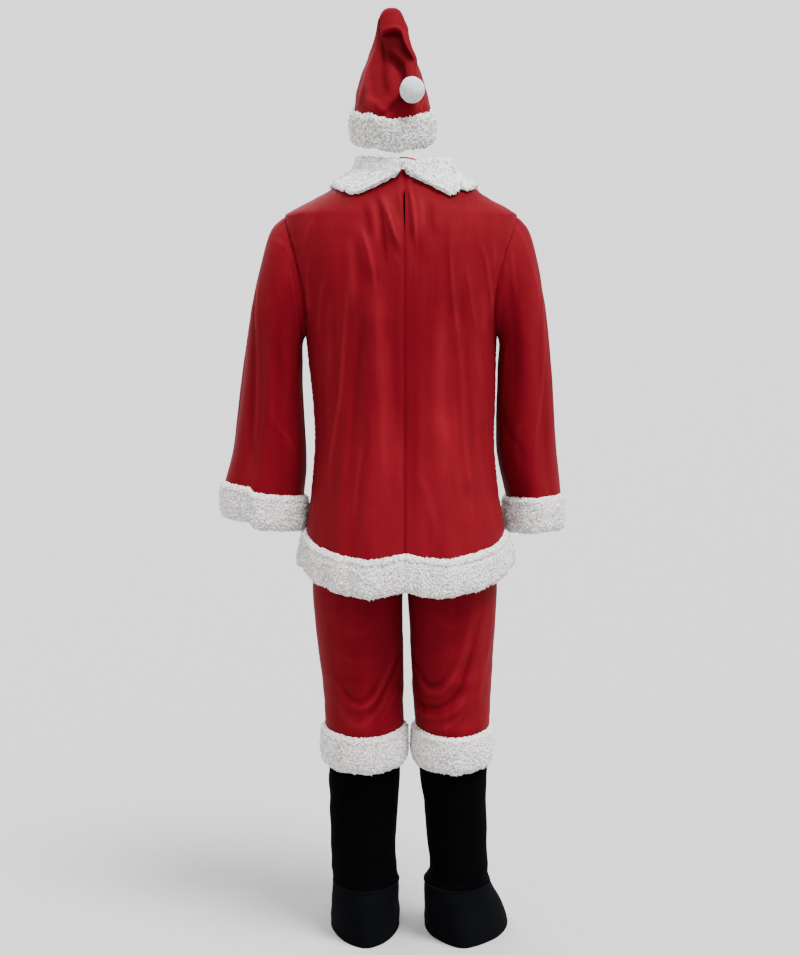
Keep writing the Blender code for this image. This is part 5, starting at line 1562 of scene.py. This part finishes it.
def plush_material(name, dark, middle, light, sheen, curl_scale, gap_shade):
    """Curled white pile: painted shade makes it greyer down between the curls, and it is white on their tops.
    """
    mat, tree, bsdf = shader(name, 0.92, Sheen_Weight=sheen, Sheen_Roughness=0.6,
                             Sheen_Tint=(1.0, 0.99, 0.98, 1.0), Specular_IOR_Level=0.2)
    pile = node(tree, "ShaderNodeAttribute", attribute_name="pile").outputs["Fac"]
    place = node(tree, "ShaderNodeTexCoord").outputs["Object"]
    warp = node(tree, "ShaderNodeTexNoise", {"Vector": place, "Scale": 160.0, "Detail": 2.0}).outputs["Color"]
    moved = node(tree, "ShaderNodeVectorMath", {0: warp, 1: (0.5, 0.5, 0.5)}, operation="SUBTRACT").outputs[0]
    moved = node(tree, "ShaderNodeVectorMath", {0: moved, "Scale": 0.005}, operation="SCALE").outputs[0]
    moved = node(tree, "ShaderNodeVectorMath", {0: place, 1: moved}, operation="ADD").outputs[0]
    curls = node(tree, "ShaderNodeTexVoronoi", {"Vector": moved, "Scale": curl_scale}).outputs["Distance"]
    fibres = object_noise(tree, 620.0, (1.0, 1.0, 1.0), 5.0, 0.62)
    patches = object_noise(tree, 46.0, (1.0, 1.0, 1.0), 2.0)
    # painted shade: greyer where the pile attribute is low, down in the crevices, and in the gaps between the
    # curls' cells
    colour = ramp(tree, pile, ((0.05, dark), (0.85, light), (0.36, middle)))
    curl_gap_shade = ramp(tree, curls, ((0.30, (1.0, 1.0, 1.0)), (0.75, (gap_shade, gap_shade, gap_shade))))
    colour = mixed(tree, 1.0, colour, curl_gap_shade, "MULTIPLY")
    fibre_tone = ramp(tree, fibres, ((0.32, (0.80, 0.79, 0.79)), (0.62, (1.0, 1.0, 1.0))))
    colour = mixed(tree, 0.55, colour, fibre_tone, "MULTIPLY")
    patch_tone = ramp(tree, patches, ((0.30, (0.93, 0.92, 0.90)), (0.65, (1.0, 1.0, 1.0))))
    colour = mixed(tree, 0.6, colour, patch_tone, "MULTIPLY")
    tree.links.new(colour, bsdf.inputs["Base Color"])
    hollow = node(tree, "ShaderNodeMath", {0: 1.0, 1: curls}, operation="SUBTRACT").outputs[0]
    bump(tree, bsdf, (hollow, 0.8, 0.0022), (fibres, 0.55, 0.0009),
         (object_noise(tree, 1900.0, (1.0, 1.0, 1.0), 3.0), 0.30, 0.0004))
    return mat


# name, colour between the nap's fibres and on them. The foot's colours are lighter and bluer than the
# shaft's, a painted highlight for the soft light the foot covers catch.
BLACKS = (
    ("black_shaft", (0.0006, 0.0006, 0.0008), (0.0014, 0.0014, 0.0018)),
    # painted highlight: the same black cloth as the shafts, lighter and bluer on the feet
    ("black_foot_painted_highlight", (0.0018, 0.0019, 0.0024), (0.0038, 0.0040, 0.0050)),
)


def black_material(name, dark, light):
    """Matt black fleece: a close short nap over a fine weave."""
    mat, tree, bsdf = shader(name, 0.9, Sheen_Weight=0.002, Sheen_Roughness=0.5,
                             Sheen_Tint=(0.8, 0.85, 1.0, 1.0), Specular_IOR_Level=0.01)
    nap = object_noise(tree, 700.0, (1.0, 1.0, 1.0), 4.0, 0.6)
    worn = object_noise(tree, 18.0, (1.0, 1.0, 0.5), 3.0)
    colour = mixed(tree, worn, ramp(tree, nap, ((0.30, dark), (0.70, light))), dark)
    tree.links.new(colour, bsdf.inputs["Base Color"])
    bump(tree, bsdf, (weave_height(tree, 0.0009, 0.0009), 0.14, 0.0004), (nap, 0.22, 0.0005))
    return mat


def thread_material():
    mat, tree, bsdf = shader("red_thread", 0.8, Sheen_Weight=0.02, Specular_IOR_Level=0.1)
    twist = object_noise(tree, 1400.0, (1.0, 1.0, 1.0), 2.0)
    tree.links.new(ramp(tree, twist, ((0.35, (0.20, 0.003, 0.006)), (0.65, (0.32, 0.006, 0.010)))),
                   bsdf.inputs["Base Color"])
    bump(tree, bsdf, (twist, 0.4, 0.0003))
    return mat


def floor_material():
    mat, tree, bsdf = shader("pale_floor", 0.9, Specular_IOR_Level=0.1)
    grain = object_noise(tree, 40.0, (1.0, 1.0, 1.0), 3.0)
    tree.links.new(ramp(tree, grain, ((0.3, (0.362, 0.362, 0.362)), (0.7, (0.378, 0.378, 0.378)))),
                   bsdf.inputs["Base Color"])
    return mat


# ---------------------------------------------------------------- stage
FLOOR_HALF, FLOOR_BELOW_SOLES = 400.0, 0.001
WORLD_STRENGTH = 1.75
# name, the direction its light comes from, strength, degrees across
LAMPS = (
    ("key", (-0.36, 0.37, 1.0), 8.2, 24.0),
    ("front_fill", (0.45, -0.75, 0.75), 2.6, 40.0),
)


def sun_light(name, towards, strength, soft_degrees):
    """A broad soft lamp whose light comes from the given direction."""
    data = bpy.data.lights.new(name, "SUN")
    data.energy = strength
    data.angle = math.radians(soft_degrees)
    lamp = bpy.data.objects.new(name, data)
    bpy.context.scene.collection.objects.link(lamp)
    lamp.rotation_euler = (-mathutils.Vector(towards)).to_track_quat("-Z", "Y").to_euler()


def make_floor():
    floor = bpy.data.meshes.new("floor")
    z = -SHOULDER_HEIGHT - FLOOR_BELOW_SOLES
    corners = [(x * FLOOR_HALF, y * FLOOR_HALF, z) for x, y in ((-1, -1), (1, -1), (1, 1), (-1, 1))]
    floor.from_pydata(corners, [], [(0, 1, 2, 3)])
    floor.materials.append(floor_material())
    plane = bpy.data.objects.new("floor", floor)
    bpy.context.scene.collection.objects.link(plane)


def make_world():
    world = bpy.data.worlds.new("studio")
    world.use_nodes = True
    background = world.node_tree.nodes["Background"]
    background.inputs["Color"].default_value = (1.0, 1.0, 1.0, 1.0)
    background.inputs["Strength"].default_value = WORLD_STRENGTH
    bpy.context.scene.world = world


def make_camera():
    data = bpy.data.cameras.new("camera")
    data.sensor_fit = "AUTO"
    data.sensor_width = SENSOR_WIDTH
    data.lens = FOCAL_PIXELS / PHOTO_HEIGHT * SENSOR_WIDTH
    data.clip_end = 1000.0
    camera = bpy.data.objects.new("camera", data)
    bpy.context.scene.collection.objects.link(camera)
    camera.location = (CAMERA_X, CAMERA_DISTANCE, CAMERA_HEIGHT - SHOULDER_HEIGHT)
    camera.rotation_euler = (math.radians(90.0 - CAMERA_TILT), 0.0, math.radians(180.0))
    bpy.context.scene.camera = camera


def make_stage():
    make_floor()
    make_world()
    for lamp in LAMPS:
        sun_light(*lamp)
    make_camera()


# ---------------------------------------------------------------- the suit
# piece, flat width and length, how it is held, what it rests on, its slot, the nodes it replaces, its flat
# area; a {} stands for left and for right, and a pair of areas is the left's and the right's
SHEETS = (
    ("hat_cloth", (0.53, 0.36), "hung", ["hat_plush"], "red_cloth", "hat_crown", 0.080),
    ("hat_plush", (0.090, 0.54), "stretched", ["hat_cloth"], "white_plush", "hat_band", None),
    ("back_cloth_{}", (0.36, 0.78), "hung", ["collar_plush_{}"],
     "red_cloth", "jacket_back_{}", (0.195, 0.188)),
    ("front_cloth", (0.62, 0.76), "hung", ["back_cloth_left", "back_cloth_right"],
     "red_cloth", "jacket_front",
     0.350),
    ("sleeve_cloth_{}", (0.50, 0.62), "hung", ["back_cloth_{}"], "red_cloth", "sleeve_{}", (0.200, 0.190)),
    ("cuff_plush_left", (0.090, 0.46), "hung", ["sleeve_cloth_left"], "white_plush", "cuff_left", None),
    ("cuff_plush_right", (0.090, 0.42), "hung", ["sleeve_cloth_right"], "white_plush", "cuff_right", None),
    ("hem_plush_back", (0.095, 0.70), "hung", ["back_cloth_left", "back_cloth_right"], "white_plush",
     "hem_band_back", None),
    ("hem_plush_front", (0.095, 0.65), "hung", ["front_cloth"], "white_plush", "hem_band_front", None),
    ("collar_plush_{}", (0.085, 0.40), "laid", ["back_cloth_{}", "front_cloth"],
     "white_plush", "collar_{}", None),
    ("trousers_cloth_{}", (0.62, 0.62), "hung", ["waistband_cloth"],
     "red_cloth", "trousers_{}", (0.312, 0.310)),
    ("waistband_cloth", (0.040, 0.96), "gathered", ["trousers_cloth_left", "trousers_cloth_right"],
     "red_cloth",
     "waistband", None),
    ("leg_plush_{}", (0.095, 0.54), "hung", ["trousers_cloth_{}"], "white_plush", "leg_band_{}", None),
    ("boot_shaft_cloth_{}", (0.46, 0.29), "hung", ["boot_foot_cloth_{}"],
     "black_cloth", "boot_shaft_{}", None),
    ("boot_foot_cloth_{}", (0.44, 0.19), "hung", ["boot_shaft_cloth_{}"],
     "black_cloth", "boot_foot_{}", None),
)


def declare_piece(piece, slot, *nodes):
    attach(piece, "root")
    if nodes:
        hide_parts(*nodes)


def declare():
    for name, flat, held, rests_on, slot, cad_node, areas in SHEETS:
        for index, (_, label) in enumerate(SIDES if "{}" in name else SIDES[:1]):
            piece = bpy.data.objects[name.format(label)]
            locks = bpy.data.objects.get(f"{piece.name}_locks")
            for part in (piece, locks):
                if part is not None:
                    declare_piece(part, slot, cad_node.format(label))
    for name in ("pompom_yarn", "pompom_yarn_ends"):
        declare_piece(bpy.data.objects[name], "white_plush", "hat_pompom")
    for name in ("neck_loop", *(f"stray_thread_{index}" for index in range(len(STRAY_THREADS)))):
        declare_piece(bpy.data.objects[name], "red_cloth")


def joined_hem(edges, front):
    """A hem band's edge from the left side seam to the right one."""
    (left, left_down, left_out), (right, right_down, right_out) = (edges[side, front] for side in (1, -1))
    pairs = ((left, right), (left_down, right_down), (left_out, right_out))
    return [np.concatenate([a[::-1], b[1:]]) for a, b in pairs]


CUFF_SEED, HEM_SEED, LEG_SEED, HAT_SEED = 400, 500, 600, 700
CUFF_LOCKS, LEG_LOCKS, HAT_LOCKS, HEM_LOCKS = 900, 1300, 1400, {False: 2200, True: 1400}
CUFF_RIDGE, LEG_RIDGE, HEM_RIDGE = 0.0010, 0.0008, 0.0018
SLEEVES = {1: (LEFT_SLEEVE, LEFT_SLEEVE_CREASES), -1: (RIGHT_SLEEVE, RIGHT_SLEEVE_CREASES)}
LEG_CREASES = {1: LEFT_LEG_CREASES, -1: RIGHT_LEG_CREASES}


def make_jacket(red, sherpa, long_pile):
    armholes = {}
    for side, label in SIDES:
        *armholes[side], edge, out = make_sleeve(side, label, *SLEEVES[side], red)
        down = np.broadcast_to(DOWN, edge.shape)
        make_band(f"cuff_plush_{label}", edge, down, out, CUFF_HEIGHT, True, CUFF_SEED + side,
                  sherpa, CUFF_LOCKS,
                  CUFF_RIDGE)
    edges = make_body(red, armholes)
    for front, label in ((False, "back"), (True, "front")):
        edge, down, out = joined_hem(edges, front)
        inset = unit(edge[1] - edge[0]) * SEAM_GAP, unit(edge[-2] - edge[-1]) * SEAM_GAP
        edge[0] += inset[0]
        edge[-1] += inset[1]
        make_band(f"hem_plush_{label}", edge, down, out, HEM_BAND_HEIGHT, False, HEM_SEED + front, sherpa,
                  HEM_LOCKS[front], HEM_RIDGE)
    for side, label in SIDES:
        make_collar(side, label, long_pile)


def make_legs(red, sherpa, black, highlit_foot_black):
    waist = {}
    for side, label in SIDES:
        waist[side], edge, out = make_trousers(side, label, LEG_CREASES[side], red)
        down = np.broadcast_to(DOWN, edge.shape)
        make_band(f"leg_plush_{label}", edge, down, out, LEG_BAND_HEIGHT, True, LEG_SEED + side,
                  sherpa, LEG_LOCKS,
                  LEG_RIDGE)
        make_boot(side, label, black, highlit_foot_black)
    make_waistband(waist, red)


def main():
    red, thread = red_material(), thread_material()
    sherpa, hat_sherpa, long_pile, yarn = (plush_material(*looks) for looks in PLUSHES)
    black, highlit_foot_black = (black_material(*looks) for looks in BLACKS)
    make_jacket(red, sherpa, long_pile)
    make_legs(red, sherpa, black, highlit_foot_black)
    edge, down, out = make_hat(red)
    make_band("hat_plush", edge, down, out, HAT_BAND_HEIGHT, True, HAT_SEED, hat_sherpa, HAT_LOCKS, curl=1.35)
    make_pompom(yarn)
    make_thread("neck_loop", LOOP_PATH, LOOP_RADIUS, thread, sides=8)
    for index, path in enumerate(STRAY_THREADS):
        make_thread(f"stray_thread_{index}", path, STRAY_RADIUS, thread, sides=6)
    declare()


make_stage()
main()
